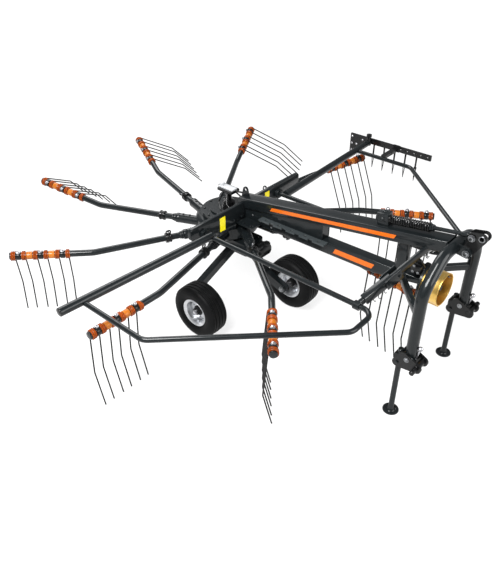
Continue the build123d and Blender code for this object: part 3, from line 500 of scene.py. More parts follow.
def paint(name, colour, pale, dull, gloss=0.32, coat=0.45):
    """Sprayed paint: slight shade drift, dust in clouds, fine scuffs and orange peel."""
    look = Look(name)
    cloud = look.span(look.noise(5.0, 6.0, 0.6), 0.35, 0.72)
    scuff = look.span(look.noise(60.0, 8.0, 0.7), 0.62, 0.78)
    base = look.mix(cloud, colour, pale)
    look.set(
        Base_Color=look.mix(scuff * 0.4, base, dull),
        Roughness=cloud * 0.12 + scuff * 0.2 + gloss,
        Specular_IOR_Level=0.1,
        Coat_Weight=coat,
        Coat_Roughness=0.1,
        Normal=look.bump(look.noise(340.0, 2.0), 0.10, 0.001),
    )
    return look


def metal(name, colour, dark, gloss):
    """Bright metal with soft stains and a fine grain."""
    look = Look(name)
    stain = look.span(look.noise(22.0, 6.0, 0.65), 0.42, 0.75)
    look.set(
        Base_Color=look.mix(stain, colour, dark),
        Metallic=1.0,
        Roughness=stain * 0.2 + gloss,
        Normal=look.bump(look.noise(180.0, 3.0), 0.08, 0.0008),
    )
    return look


def rubber(name):
    """Tyre rubber with a bloom of dust."""
    look = Look(name)
    bloom = look.span(look.noise(14.0, 6.0, 0.62), 0.40, 0.78)
    look.set(
        Base_Color=look.mix(bloom, rgb(0.0024, 0.0025, 0.0026), rgb(0.0062, 0.0063, 0.0066)),
        Roughness=bloom * 0.15 + 0.50,
        Specular_IOR_Level=0.08,
        Normal=look.bump(look.noise(260.0, 3.0), 0.15, 0.001),
    )
    return look


def coil_paint(name):
    """Bright paint on the coils, darker and rougher in small random patches."""
    look = Look(name)
    dark_patches = look.span(look.noise(110.0, 6.0, 0.7), 0.50, 0.68)
    drift = look.noise(30.0, 3.0)
    base = look.mix(drift, rgb(0.19, 0.030, 0.002), rgb(0.32, 0.058, 0.003))
    look.set(
        Base_Color=look.mix(dark_patches * 0.9, base, rgb(0.016, 0.007, 0.004)),
        Roughness=dark_patches * 0.3 + 0.36,
        Specular_IOR_Level=0.15,
        Coat_Weight=0.1,
        Normal=look.bump(look.noise(300.0, 2.0), 0.15, 0.001),
    )
    return look


frame_paint = paint(
    "frame_paint",
    colour=rgb(0.0048, 0.0064, 0.0072),
    pale=rgb(0.0080, 0.0102, 0.0112),
    dull=rgb(0.020, 0.023, 0.025),
)
black_paint = paint(
    "black_paint",
    colour=rgb(0.003, 0.0032, 0.0035),
    pale=rgb(0.006, 0.0062, 0.0065),
    dull=rgb(0.03, 0.03, 0.03),
    gloss=0.36,
)
# Lighter paint for the flange bar: painted light, standing for its lit top face
flange_painted_light = paint(
    "flange_painted_light",
    colour=rgb(0.030, 0.036, 0.038),
    pale=rgb(0.042, 0.049, 0.052),
    dull=rgb(0.075, 0.083, 0.086),
    gloss=0.34,
)
wire_steel = paint(
    "wire_steel",
    colour=rgb(0.0040, 0.0042, 0.0044),
    pale=rgb(0.0080, 0.0082, 0.0085),
    dull=rgb(0.030, 0.030, 0.031),
    gloss=0.36,
    coat=0.1,
)
sleeve_paint = paint(
    "sleeve_paint",
    colour=rgb(0.34, 0.098, 0.009),
    pale=rgb(0.42, 0.132, 0.018),
    dull=rgb(0.15, 0.035, 0.005),
    gloss=0.3,
    coat=0.3,
)
stripe_paint = paint(
    "stripe_paint",
    colour=rgb(0.52, 0.100, 0.003),
    pale=rgb(0.57, 0.115, 0.004),
    dull=rgb(0.38, 0.072, 0.003),
    gloss=0.4,
)
box_paint = paint(
    "box_paint",
    colour=rgb(0.40, 0.41, 0.42),
    pale=rgb(0.50, 0.51, 0.52),
    dull=rgb(0.24, 0.25, 0.26),
    gloss=0.42,
)
label_paint = paint(
    "label_paint",
    colour=rgb(0.80, 0.66, 0.004),
    pale=rgb(0.86, 0.74, 0.01),
    dull=rgb(0.55, 0.42, 0.01),
    gloss=0.45,
)
bright_zinc = metal("bright_zinc", rgb(0.56, 0.56, 0.58), rgb(0.30, 0.30, 0.32), 0.28)
bolt_steel = metal("bolt_steel", rgb(0.30, 0.31, 0.32), rgb(0.13, 0.13, 0.14), 0.30)
rim_metal = metal("rim_metal", rgb(0.66, 0.67, 0.69), rgb(0.46, 0.47, 0.48), 0.30)
gold_zinc = metal("gold_zinc", rgb(0.86, 0.57, 0.16), rgb(0.74, 0.47, 0.12), 0.33)
coil_orange = coil_paint("coil_orange")
tyre_rubber = rubber("tyre_rubber")

slot_looks = {
    "frame_paint": frame_paint,
    "black_paint": black_paint,
    "spring_black": black_paint,
    "steel": bright_zinc,
    "rim_silver": rim_metal,
    "gold_steel": gold_zinc,
    "tyre": tyre_rubber,
    "black_plastic": black_paint,
}
node_slots = {row["node"]: row["material_slot"] for row in frame["record"]["subparts"]}
for node, thing in frame["nodes"].items():
    thing.data.materials.clear()
    # The flange bar takes the lighter paint as painted light on its lit top face
    look = flange_painted_light if node == "flange_bar" else slot_looks[node_slots[node]]
    thing.data.materials.append(look.material)


def arm_matrix(azimuth, roll):
    """Place of a tine arm: local X along it, local Y to its bend, local Z to its tines."""
    outward = Vector((cos(radians(azimuth)), sin(radians(azimuth)), 0))
    forward = Vector((-sin(radians(azimuth)), cos(radians(azimuth)), 0))
    bend_way = forward * -cos(radians(roll)) + Vector((0, 0, sin(radians(roll))))
    turn = Matrix((outward, bend_way, outward.cross(bend_way))).transposed().to_4x4()
    return Matrix.Translation(at(0, 0, ARM_HEIGHT) + forward * ARM_OFFSET) @ turn


# Masters of one arm, in its own axes
outer_way = Vector((cos(ARM_BEND_ANGLE), sin(ARM_BEND_ANGLE), 0))
arm_bend = Vector((ARM_BEND_PLACE, 0, 0))
arm_end = arm_bend + outer_way * ARM_OUTER_LENGTH

arm_tube = Shape()
arm_tube.pipe(rounded([(ARM_ROOT, 0, 0), arm_bend, arm_end], ARM_BEND_RADIUS, 10), ARM_RADIUS, 24)
arm_tube.rod(arm_end - outer_way * 0.012, arm_end + outer_way * 0.003, 0.0235, edge=0.002)
for start, length, radius in ((0.318, 0.026, 0.034), (0.346, 0.014, 0.028), (0.362, 0.010, 0.025)):
    arm_tube.rod((start, 0, 0), (start + length, 0, 0), radius, sides=32, edge=0.003)

arm_collar = Shape()
for start, length, radius in ((-0.020, 0.012, 0.033), (-0.009, 0.018, 0.030), (0.008, 0.012, 0.033)):
    start += COLLAR_PLACE
    arm_collar.rod((start, 0, 0), (start + length, 0, 0), radius, sides=32, edge=0.003)
arm_collar.rod((COLLAR_PLACE, 0, -0.038), (COLLAR_PLACE, 0, 0.040), 0.007, edge=0.001)
lock_ring = [
    (COLLAR_PLACE + 0.0150 * sin(k * pi / 10), 0, -0.050 - 0.0150 * cos(k * pi / 10)) for k in range(21)
]
arm_collar.pipe(lock_ring, 0.0048, 8)

arm_pins = Shape()
arm_pins.dome((COLLAR_PLACE, 0, 0.038), (0, 0, 1), 0.008)
arm_pins.dome((COLLAR_PLACE, 0.005, -0.050), (0, 1, 0), 0.0055)

coils, wires, clamps, bolts, sleeves = Shape(), Shape(), Shape(), Shape(), Shape()
turn_steps = 14
coil_turns = (COIL_LENGTH - 2 * WIRE_RADIUS) / (2.05 * WIRE_RADIUS)
for side in (-1, 1):
    x = side * TINE_PITCH / 2
    span = COIL_LENGTH / 2 - WIRE_RADIUS
    helix = []
    for step in range(int(coil_turns * turn_steps) + 1):
        angle = 2 * pi * step / turn_steps
        along = -side * span + side * 2 * span * step / (coil_turns * turn_steps)
        reach = COIL_RADIUS - WIRE_RADIUS
        helix.append(Vector((x + along, reach * cos(angle), -side * reach * sin(angle))))
    coils.pipe(helix, WIRE_RADIUS, 7)
    coils.rod((x - span, 0, 0), (x + span, 0, 0), ARM_RADIUS + 0.004, sides=20)
    line = [(x, COIL_RADIUS - WIRE_RADIUS, 0), (x, KNEE_OUT, KNEE_DROP), (x, 0, TINE_DROP)]
    wires.pipe(rounded(line, KNEE_RADIUS, 5), WIRE_RADIUS, 8)
gap = TINE_PITCH - COIL_LENGTH
clamps.rod((-gap / 2, 0, 0), (gap / 2, 0, 0), CLAMP_RADIUS, sides=28, edge=0.003)
clamps.block(Matrix.Translation((0, 0, -0.024)), (gap, 0.026, 0.014), 0.003)
bolts.bolt((0, 0, -0.031), (0, 0, -1), 0.0115)
bolts.rod((0, 0, -0.038), (0, 0, -0.044), 0.0045, sides=10, edge=0.001)
sleeve_length = TINE_GROUP_PITCH - TINE_PITCH - COIL_LENGTH
sleeve_ends = [(-TINE_GROUP_PITCH / 2 + end * sleeve_length / 2, 0, 0) for end in (-1, 1)]
sleeves.rod(*sleeve_ends, SLEEVE_RADIUS, sides=28, edge=0.002)

for name, azimuth, roll in ARMS:
    arm = arm_matrix(azimuth, roll)
    node = f"tine_arm_{name}"
    tube, pins = Shape(), Shape()
    tube.stamp(arm_tube, arm)
    tube.piece(f"arm_tube_{name}", "rotor", frame_paint, "frame_paint", [node])
    pins.stamp(arm_pins, arm)
    pins.piece(f"arm_pins_{name}", "rotor", bright_zinc, "steel", [node])
    collar = Shape()
    collar.stamp(arm_collar, arm)
    collar.piece(f"arm_collar_{name}", "rotor", black_paint, "black_paint", [node])
    kinds = (
        ("coils", coils, coil_orange, "frame_paint"),
        ("tines", wires, wire_steel, "steel"),
        ("clamps", clamps, black_paint, "black_paint"),
        ("clamp_bolts", bolts, bright_zinc, "steel"),
    )
    places = []
    for group in range(TINE_GROUPS):
        reach = ARM_OUTER_LENGTH - TINE_END_MARGIN - TINE_PITCH / 2 - group * TINE_GROUP_PITCH
        centre = arm_bend + outer_way * reach
        places.append(arm @ aim(centre, (0, 0, 1), outer_way))
    for kind, master, look, slot in kinds:
        group_shape = Shape()
        for place in places:
            group_shape.stamp(master, place)
        group_shape.piece(f"{kind}_{name}", "rotor", look, slot, [node])
    sleeve_shape = Shape()
    for place in places[: TINE_GROUPS - 1]:
        sleeve_shape.stamp(sleeves, place)
    sleeve_shape.piece(f"sleeves_{name}", "rotor", sleeve_paint, "frame_paint", [node])

# Wheels: ribbed tyre, dished rim, black hub and bright nuts
tyre_profile = [
    (0.081, -0.053), (0.092, -0.0555), (0.101, -0.058), (0.106, -0.066), (0.120, -0.0735),
    (0.138, -0.0745), (0.155, -0.0725), (0.168, -0.0670), (0.176, -0.0610), (0.1795, -0.0550),
]
ribs = ((-0.0545, -0.0430), (-0.0365, -0.0160), (-0.0095, 0.0095), (0.0160, 0.0365), (0.0430, 0.0545))
for start, end in ribs:
    crown = TYRE_RADIUS - 0.0035 * (max(abs(start), abs(end)) / 0.055) ** 2
    rise = [(crown - 0.006, start - 0.001), (crown - 0.001, start), (crown, start + 0.001)]
    fall = [(crown, end - 0.001), (crown - 0.001, end), (crown - 0.006, end + 0.001)]
    tyre_profile += rise + fall
tyre_profile += [(radius, -height) for radius, height in reversed(tyre_profile[:10])]
tyre_profile.append((0.081, -0.053))
rim_profile = [
    (0.0835, -0.0535), (0.0975, -0.0560), (0.0985, -0.0590), (0.0970, -0.0612), (0.0930, -0.0605),
    (0.0875, -0.0570), (0.0790, -0.0520), (0.0780, -0.0380), (0.0700, -0.0300), (0.0690, 0.0040),
    (0.0660, 0.0120), (0.0560, 0.0170), (0.0440, 0.0165), (0.0300, 0.0140), (0.0300, 0.0200),
    (0.0560, 0.0220), (0.0700, 0.0180), (0.0745, 0.0100), (0.0760, 0.0380), (0.0780, 0.0520),
    (0.0875, 0.0570), (0.0930, 0.0605), (0.0970, 0.0612), (0.0985, 0.0590), (0.0975, 0.0560),
    (0.0835, 0.0535), (0.0800, 0.0300), (0.0800, -0.0300), (0.0835, -0.0535),
]
hub_profile = [
    (0.0152, -0.048), (0.026, -0.048), (0.028, -0.044), (0.030, 0.008), (0.036, 0.013),
    (0.036, 0.024), (0.028, 0.028), (0.026, 0.044), (0.024, 0.048), (0.0152, 0.048),
    (0.0152, -0.048),
]
for name, side, x, y in WHEELS:
    wheel = aim(at(x, y, TYRE_RADIUS), (0, side, 0), (1, 0, 0))
    body = f"wheel_{name}"
    tyre = Shape()
    tyre.turned(tyre_profile, wheel, 96)
    tyre.piece(f"ribbed_tyre_{name}", body, tyre_rubber, "tyre", [f"tyre_{name}"], 35)
    rim = Shape()
    rim.turned(rim_profile, wheel, 72)
    rim.piece(f"dished_rim_{name}", body, rim_metal, "rim_silver", [f"rim_{name}"], 35)
    hub = Shape()
    hub.turned(hub_profile, wheel, 40)
    hub.piece(f"wheel_hub_{name}", body, black_paint, "black_paint", [f"rim_{name}"], 35)
    nuts = Shape()
    outward = wheel.to_3x3() @ Vector((0, 0, 1))
    for stud in range(STUDS):
        turn = 2 * pi * stud / STUDS
        for height, way in ((0.022, outward), (0.0135, -outward)):
            spot = Vector((STUD_CIRCLE * cos(turn), STUD_CIRCLE * sin(turn), height))
            nuts.bolt(wheel @ spot, way, 0.007)
    nuts.piece(f"wheel_nuts_{name}", body, bright_zinc, "steel", [f"rim_{name}"])
    end_nut = Shape()
    end_nut.bolt(wheel @ Vector((0, 0, 0.049)), outward, 0.014)
    end_nut.piece(f"shaft_nut_{name}", "frame", bright_zinc, "steel")

# Beams with rounded corners, the wedge between them and the post in front
lower_outline = (
    (LOWER_REAR, PLATE_TOP),
    (LOWER_SEAT, PLATE_TOP),
    (LOWER_SEAT, lower_bottom(LOWER_SEAT)),
    (LOWER_TAPER, lower_bottom(LOWER_TAPER)),
    (LOWER_FRONT, lower_top(LOWER_FRONT) - LOWER_END_HEIGHT),
    (LOWER_FRONT, lower_top(LOWER_FRONT)),
    (LOWER_REAR, lower_top(LOWER_REAR)),
)
lower_tube = Shape()
lower_tube.plate(upright(0), lower_outline, LOWER_WIDTH, 0.006, 3)
lower_tube.piece("lower_beam_tube", "frame", frame_paint, "frame_paint", ["lower_beam"])

upper_outline = (
    (UPPER_REAR, upper_bottom(UPPER_REAR)),
    (UPPER_FRONT, upper_bottom(UPPER_FRONT)),
    (UPPER_FRONT, upper_top(UPPER_FRONT)),
    (UPPER_REAR, upper_top(UPPER_REAR)),
)
eye_x, eye_z = BEAM_EYE
eye_arc = [(eye_x + EYE_RADIUS * cos(k * pi / 8), eye_z + EYE_RADIUS * sin(k * pi / 8)) for k in range(9)]
upper_tube = Shape()
upper_tube.plate(upright(0), upper_outline, UPPER_WIDTH, 0.007, 3)
eye_foot = ((UPPER_REAR, upper_top(UPPER_REAR) - 0.004), (UPPER_REAR + 0.062, upper_top(UPPER_REAR) + 0.004))
upper_tube.eye_plate(upright(0), [*eye_foot, *eye_arc], BEAM_EYE, EYE_BORE, EYE_THICKNESS)
upper_tube.piece("upper_beam_tube", "frame", frame_paint, "frame_paint", ["upper_beam"])

wedge_outline = (
    (LOWER_REAR, lower_top(LOWER_REAR)),
    (GUSSET_FRONT, lower_top(GUSSET_FRONT)),
    (GUSSET_FRONT, upper_bottom(GUSSET_FRONT)),
    (UPPER_REAR, upper_bottom(UPPER_REAR)),
)
wedge = Shape()
wedge.plate(upright(0), wedge_outline, LOWER_WIDTH, 0.002)
wedge.piece("beam_wedge", "frame", frame_paint, "frame_paint", ["beam_gusset"])
post_outline = [(x, z(x)) for z in (lower_top, upper_bottom) for x in (POST_REAR, POST_FRONT)]
post_outline[2:] = post_outline[:1:-1]
post = Shape()
post.plate(upright(0), post_outline, POST_WIDTH, 0.005, 2)
post.piece("front_post", "frame", frame_paint, "frame_paint", ["beam_post"])

beads = Shape()
half = POST_WIDTH / 2
for level in (lower_top, upper_bottom):
    rear, front = level(POST_REAR), level(POST_FRONT)
    ends = ((POST_REAR, rear), (POST_FRONT, front))
    loop = [(x, -half, z) for x, z in ends] + [(x, half, z) for x, z in ends[::-1]]
    beads.weld([at(*corner) for corner in loop + loop[:1]])
half = UPPER_WIDTH / 2
low, high = upper_bottom(UPPER_FRONT), upper_top(UPPER_FRONT)
loop = [(UPPER_FRONT, y, z) for y, z in ((-half, low), (half, low), (half, high), (-half, high))]
beads.weld([at(*corner) for corner in loop + loop[:1]], 0.004)
half = LOWER_WIDTH / 2
for sign in (-1, 1):
    seam = [(x, sign * half, lower_top(x)) for x in (LOWER_REAR + 0.01, GUSSET_FRONT)]
    seam.append((GUSSET_FRONT, sign * half, upper_bottom(GUSSET_FRONT)))
    beads.weld([at(*corner) for corner in seam], 0.003)
    foot = [(x, sign * half, PLATE_TOP) for x in (LOWER_REAR, LOWER_SEAT - 0.006)]
    beads.weld([at(*corner) for corner in foot], 0.004)
    low, high = BRACE_LEVEL, BRACE_LEVEL + BRACE_HEIGHT
    rear, front = BRACE_FOOT
    loop = [(x, sign * half, z) for x, z in ((rear, low), (front, low), (front, high), (rear, high))]
    beads.weld([at(*corner) for corner in loop + loop[:1]])
beads.piece("weld_beads", "frame", frame_paint, "frame_paint")

# Plain colour stripes on both sides of the beams
stripes = Shape()
for width, top, ends, edges in (
    (UPPER_WIDTH, upper_top, (0.42, 1.29), ((0.022, 0.012), (0.048, 0))),
    (LOWER_WIDTH, lower_top, (0.90, 1.17), ((0.024, 0.016), (0.058, 0))),
):
    band = [(x + lean, top(x) - drop) for drop, lean in edges for x in ends]
    for y in (-width / 2, width / 2):
        stripes.plate(upright(y), [band[0], band[1], band[3], band[2]], FILM_THICKNESS, 0)
stripes.piece("beam_stripes", "frame", stripe_paint, "frame_paint")

# Lateral arms, leg braces and guard struts
lateral_top = PLATE_TOP + LATERAL_HEIGHT
arm_corners = (
    (LATERAL_KNEE, PLATE_TOP, 0),
    (LATERAL_REACH, PLATE_TOP + LATERAL_RISE, 0),
    (LATERAL_REACH, lateral_top, 0),
    (UPPER_WIDTH / 2, lateral_top, 0),
)
notch_top = upper_bottom(LATERAL_FRONT - LATERAL_THICKNESS)
bolt_heads, dark_bolts, labels, knobs = Shape(), Shape(), Shape(), Shape()
for name, sign, hinge_y in SIDES:
    outline = [(LOWER_WIDTH / 2, PLATE_TOP)] + [(point.x, point.y) for point in rounded(arm_corners, 0.024)]
    outline += [(UPPER_WIDTH / 2, notch_top), (LOWER_WIDTH / 2, notch_top)]
    lateral = Shape()
    outline = [(sign * y, z) for y, z in outline]
    lateral.plate(frontal(LATERAL_FRONT - LATERAL_THICKNESS / 2), outline, LATERAL_THICKNESS, 0.003, 2)
    ledge = placed(LATERAL_FRONT - 0.015, sign * 0.209, PLATE_TOP - 0.017)
    lateral.block(ledge, (0.030, 0.162, 0.034), 0.004)
    lateral.bush(at(LATERAL_FRONT, hinge_y, GUARD_HEIGHT), (1, 0, 0), HINGE_BORE, 0.032, 0.022)
    lateral.weld([at(LATERAL_FRONT, sign * y, PLATE_TOP) for y in (0.040, 0.128)], 0.004)
    lateral.piece(f"lateral_plate_{name}", "frame", frame_paint, "frame_paint", [f"lateral_arm_{name}"])
    for y, z in ((0.075, 0.672), (0.150, 0.672)):
        dark_bolts.bolt(at(LATERAL_FRONT, sign * y, z), (1, 0, 0), 0.010)
    dark_bolts.bolt(at(LATERAL_FRONT + 0.011, hinge_y, GUARD_HEIGHT + 0.032), (0, 0, 1), 0.007)

    brace = Shape()
    brace_outline = [(x, 0.033) for x in BRACE_FOOT]
    brace_outline += [(HEADSTOCK_X + side * BRACE_HALF_WIDTH, LEG_Y) for side in (1, -1)]
    brace.plate(
        placed(0, 0, BRACE_LEVEL + BRACE_HEIGHT / 2),
        [(x, sign * y) for x, y in brace_outline],
        BRACE_HEIGHT,
        0.004,
        2,
    )
    brace.piece(f"brace_bar_{name}", "frame", frame_paint, "frame_paint", [f"leg_brace_{name}"])

    low = at(CLAMP_PLACE, hinge_y, GUARD_HEIGHT)
    high = at(STRUT_TOP[0], sign * STRUT_TOP[1], STRUT_TOP[2])
    way = (high - low).normalized()
    strut_axes = aim(low, way, way.cross(Vector((0, 0, 1))))
    strut = Shape()
    length = (high - low).length
    strut.block(strut_axes @ Matrix.Translation((0, 0, length / 2)), (0.022, 0.034, length), 0.003)
    strut.block(strut_axes @ Matrix.Translation((0, 0, 0.139)), (0.044, 0.050, 0.190), 0.005)
    for cheek in (-1, 1):
        strut.block(strut_axes @ Matrix.Translation((cheek * 0.0255, 0, 0.234)), (0.007, 0.064, 0.110), 0.002)
        cheek_way = strut_axes.to_3x3() @ Vector((cheek, 0, 0))
        for along in (0.200, 0.268):
            dark_bolts.bolt(strut_axes @ Vector((cheek * 0.029, 0, along)), cheek_way, 0.009)
    strut.bush(at(CLAMP_PLACE - 0.018, hinge_y, GUARD_HEIGHT), (1, 0, 0), HINGE_BORE, 0.025, 0.036)
    for along, drop in ((0.120, 0.040), (0.155, 0.050), (0.195, 0.044)):
        hang = strut_axes @ Vector((0, 0, along)) - Vector((0, 0, 0.018))
        steps = ((0, 0), (0, -drop), (0.008, -drop - 0.008), (0.014, -drop))
        clip = [hang + Vector((x, 0, z)) for x, z in steps]
        strut.pipe(rounded(clip, 0.004, 4), 0.0022, 6)
    strut.piece(f"strut_bar_{name}", "frame", frame_paint, "frame_paint", [f"guard_strut_{name}"])
    bolt_heads.dome(at(CLAMP_PLACE, hinge_y - sign * 0.025, GUARD_HEIGHT), (0, -sign, 0), 0.006)

for y, wide, low, high in ((-0.257, 0.050, 0.640, 0.738), (0.186, 0.046, 0.704, 0.750)):
    corners = ((y - wide / 2, low), (y + wide / 2, low), (y + wide / 2, high), (y - wide / 2, high))
    labels.plate(frontal(LATERAL_FRONT + FILM_THICKNESS / 2), corners, FILM_THICKNESS, 0)
labels.piece("plain_labels", "frame", label_paint, "frame_paint")

# Gear housing bolts and beam bolts
for turn in (60, 100, 140, 180, 220, 260, 300):
    spot = (0.155 * cos(radians(turn)), 0.155 * sin(radians(turn)), 0.631)
    dark_bolts.bolt(at(*spot), (0, 0, 1), 0.009)
for x, y in ((0.30, 0.10), (0.30, -0.10), (0.24, 0.10), (0.24, -0.10)):
    dark_bolts.bolt(at(x, y, PLATE_TOP), (0, 0, 1), 0.009)
for x, z in ((0.262, 0.684), (0.325, 0.664), (0.420, 0.650)):
    bolt_heads.dome(at(x, -LOWER_WIDTH / 2, z), (0, -1, 0), 0.006)

# Rocker: bright bolts on its pins with dark domes on their heads, an open bush round the top link hole
for side in (-1, 1):
    for (x, z), face in ((PIVOT, PIVOT_FACE), (ROD_EYE, ROD_EYE_FACE)):
        bolt_heads.bolt(at(x, side * face, z), (0, side, 0), 0.017)
        # Dark dome on the bolt head: painted shade standing for the shaded socket
        dark_bolts.dome(at(x, side * (face + 0.0125), z), (0, side, 0), 0.0055)
    bolt_heads.bush(at(TOP_LINK[0], side * ROCKER_FACE, TOP_LINK[1]), (0, side, 0), 0.0130, 0.0175, 0.005)

# Hitch: pins, parking stands, bolts on the plates, locking pins with ball knobs
pin_profile = [
    (0, 0), (0.0165, 0), (0.018, 0.0015), (0.018, 0.0870), (0.0170, 0.0880),
    (0.014, 0.0880), (0.014, 0.1200), (0.0130, 0.1205), (0.0130, 0.1245), (0.014, 0.1250),
    (0.014, 0.1345), (0.0125, 0.136), (0, 0.136),
]
foot_profile = [
    (0, 0), (0.0440, 0), (0.0470, 0.003), (0.0470, 0.008), (0.0445, 0.011),
    (0.0340, 0.0110), (0.0260, 0.0085), (0.0215, 0.0120), (0.0195, 0.0185), (0.0160, 0.0235),
    (0.0160, 0.4660), (0.0140, 0.4680), (0, 0.4680),
]
for name, sign, _ in SIDES:
    pin = Shape()
    pin.turned(pin_profile, aim(at(HITCH_PIN[0], sign * HITCH_INNER, HITCH_PIN[1]), (0, sign, 0)), 36)
    pin.piece(f"link_pin_{name}", "frame", black_paint, "black_paint", [f"hitch_pin_{name}"])
    stand = Shape()
    stand.turned(foot_profile, placed(STAND[0], sign * STAND[1], 0), 48)
    stand.piece(f"stand_leg_{name}", f"stand_{name}", frame_paint, "frame_paint", [f"parking_stand_{name}"])
    for face, outward in ((HITCH_OUTER, sign), (HITCH_INNER, -sign)):
        bolt_heads.dome(at(1.618, sign * face, 0.434), (0, outward, 0), 0.011)
        dark_bolts.bolt(at(STAND[0], sign * face, 0.392), (0, outward, 0), 0.010)
    knobs.rod(at(1.6485, sign * LEG_Y, 0.430), at(1.664, sign * LEG_Y, 0.500), 0.0055, edge=0.001)
    ball = [(KNOB_RADIUS * sin(k * pi / 12), KNOB_RADIUS * (1 - cos(k * pi / 12))) for k in range(13)]
    knobs.turned(ball, aim(at(1.663, sign * LEG_Y, 0.495), (0.2, 0, 1)), 20)
knobs.piece("lock_pin_knobs", "frame", bright_zinc, "steel")

# Power take-off: rolled drum with its tab, splined stub and bearing block
drum = Shape()
drum_profile = [
    (0.0912, 0), (0.0950, 0), (0.0950, 0.0960), (0.0962, 0.0985), (0.0968, 0.1015),
    (0.0960, 0.1045), (0.0938, 0.1050), (0.0918, 0.1040), (0.0912, 0.1015), (0.0912, 0),
]
drum.turned(drum_profile, aim(at(DRIVE_FACE, 0, DRIVE_HEIGHT), (1, 0, 0)), 96)
drum.block(placed(DRIVE_FACE + 0.050, 0, DRIVE_HEIGHT - 0.0965), (0.100, 0.072, 0.004), 0.001)
drum.piece("drive_drum", "frame", gold_zinc, "gold_steel", ["pto_guard"], 30)
stub_outline = []
for tooth in range(SPLINES):
    for share, radius in ((0.0, 0.0152), (0.10, 0.0175), (0.45, 0.0175), (0.55, 0.0152)):
        turn = 2 * pi * (tooth + share) / SPLINES
        stub_outline.append((radius * cos(turn), radius * sin(turn)))
stub = Shape()
stub.plate(aim(at(DRIVE_FACE + 0.041, 0, DRIVE_HEIGHT), (1, 0, 0)), stub_outline, 0.082, 0.0005)
stub.bush(at(DRIVE_FACE, 0, DRIVE_HEIGHT), (1, 0, 0), 0.016, 0.034, 0.012)
stub.piece("splined_stub", "frame", wire_steel, "steel", ["pto_shaft"])
for turn in range(0, 360, 60):
    across, up = DRIVE_BOLT_CIRCLE * cos(radians(turn)), DRIVE_BOLT_CIRCLE * sin(radians(turn))
    dark_bolts.bolt(at(DRIVE_FACE, across, DRIVE_HEIGHT + up), (1, 0, 0), 0.0048)
for turn in (20, 160):
    out = Vector((0, cos(radians(turn)), sin(radians(turn))))
    bolt_heads.dome(at(DRIVE_FACE + 0.080, 0, DRIVE_HEIGHT) + out * DRUM_BORE, -out, 0.006)
bearing = Shape()
bearing_profile = [
    (0, 0), (0.026, 0), (0.028, 0.002), (0.028, 0.030), (0.040, 0.034),
    (0.040, 0.056), (0.032, 0.060), (0.032, 0.082), (0.046, 0.086), (0.046, 0.100),
    (0, 0.100),
]
bearing.turned(bearing_profile, aim(at(1.390, 0, 0.768), (1, 0, 0)), 40)
bearing.block(placed(1.452, -0.052, 0.792), (0.060, 0.030, 0.050), 0.006)
hose = ((1.400, -0.02, 0.80), (1.420, -0.06, 0.85), (1.470, -0.06, 0.86), (1.490, -0.02, 0.78))
bearing.pipe(rounded([at(*point) for point in hose], 0.02), 0.007, 10)
bearing.piece("bearing_block", "frame", black_paint, "black_paint")
for x, z in ((1.440, 0.812), (1.466, 0.776), (1.436, 0.776)):
    bolt_heads.dome(at(x, -0.067, z), (0, -1, 0), 0.006)

# Height spindle: ribbed boot, box with a pale cover and its handle, cable loops
boot_profile = [(0, 0), (0.046, 0)]
for rib in range(5):
    foot = 0.003 + rib * 0.011
    boot_profile += [(0.046 - rib * 0.001, foot), (0.046 - rib * 0.001, foot + 0.005), (0.037, foot + 0.008)]
boot_profile += [(0.030, 0.060), (0.022, 0.064), (0.022, 0.125), (0, 0.125)]
spindle = Shape()
spindle.turned(boot_profile, placed(SPINDLE_X, 0, PLATE_TOP), 40)
spindle.block(placed(SPINDLE_X, 0, 0.779), (0.130, 0.084, 0.022), 0.005)
spindle.rod(at(SPINDLE_X + 0.060, 0, 0.784), at(BEAM_EYE[0] - 0.004, 0, 0.800), 0.006)
for loop in (
    (
        (0.03, -0.03, 0.770),
        (0.06, -0.07, 0.71),
        (0.11, -0.07, 0.67),
        (0.15, -0.055, 0.71),
        (0.160, -0.02, 0.775),
    ),
    ((0.05, 0.02, 0.770), (0.10, 0.05, 0.72), (0.12, 0.06, 0.66), (0.06, 0.09, 0.648)),
    ((0.0, -0.03, 0.770), (-0.02, -0.06, 0.70), (0.02, -0.085, 0.655), (0.10, -0.085, 0.655)),
):
    spindle.pipe(rounded([at(*point) for point in loop], 0.015), 0.0055, 10)
spindle.piece("ribbed_spindle", "frame", black_paint, "black_plastic", ["height_spindle"])
cover = Shape()
cover.block(placed(SPINDLE_X, -0.006, 0.795), (0.126, 0.052, 0.013), 0.004)
cover.block(placed(SPINDLE_X - 0.044, -0.010, 0.810), (0.026, 0.030, 0.024), 0.007)
cover.piece("spindle_cover", "frame", box_paint, "black_plastic", ["height_spindle"])

# Curtain hooks and the fittings of their carrier
hooks = Shape()
for x in HOOK_PLACES:
    hooks.block(placed(x, HOOK_Y, 0.663), (0.014, 0.006, 0.144), 0.0015)
    for side in (-1, 1):
        hooks.rod(at(x + side * 0.009, HOOK_Y, 0.610), at(x, HOOK_Y, 0.496), 0.0040, 0.0025, 10)
    hooks.dome(at(x, HOOK_Y - 0.019, 0.720), (0, -1, 0), 0.006)
hooks.piece("hanging_hooks", "guard_left", black_paint, "black_paint", ["curtain_hooks"])
fittings = Shape()
fittings.block(placed(0.455, 1.463, 0.720), (0.060, 0.022, 0.052), 0.004)
post_profile = [
    (0, 0), (0.019, 0), (0.021, 0.002), (0.021, 0.024), (0.017, 0.027), (0.017, 0.066), (0.021, 0.069),
    (0.021, 0.088), (0, 0.090),
]
fittings.turned(post_profile, placed(0.214, 1.442, 0.690), 28)
fittings.piece("carrier_fittings", "guard_left", black_paint, "black_paint")
carrier_bolts = Shape()
for x, z in ((0.052, 0.722), (0.052, 0.664), (0.052, 0.606), (0.096, 0.664), (0.150, 0.712)):
    carrier_bolts.dome(at(x, CARRIER_FACE, z), (0, -1, 0), 0.0065)
carrier_bolts.piece("carrier_bolts", "guard_left", bright_zinc, "steel")
plug = Shape()
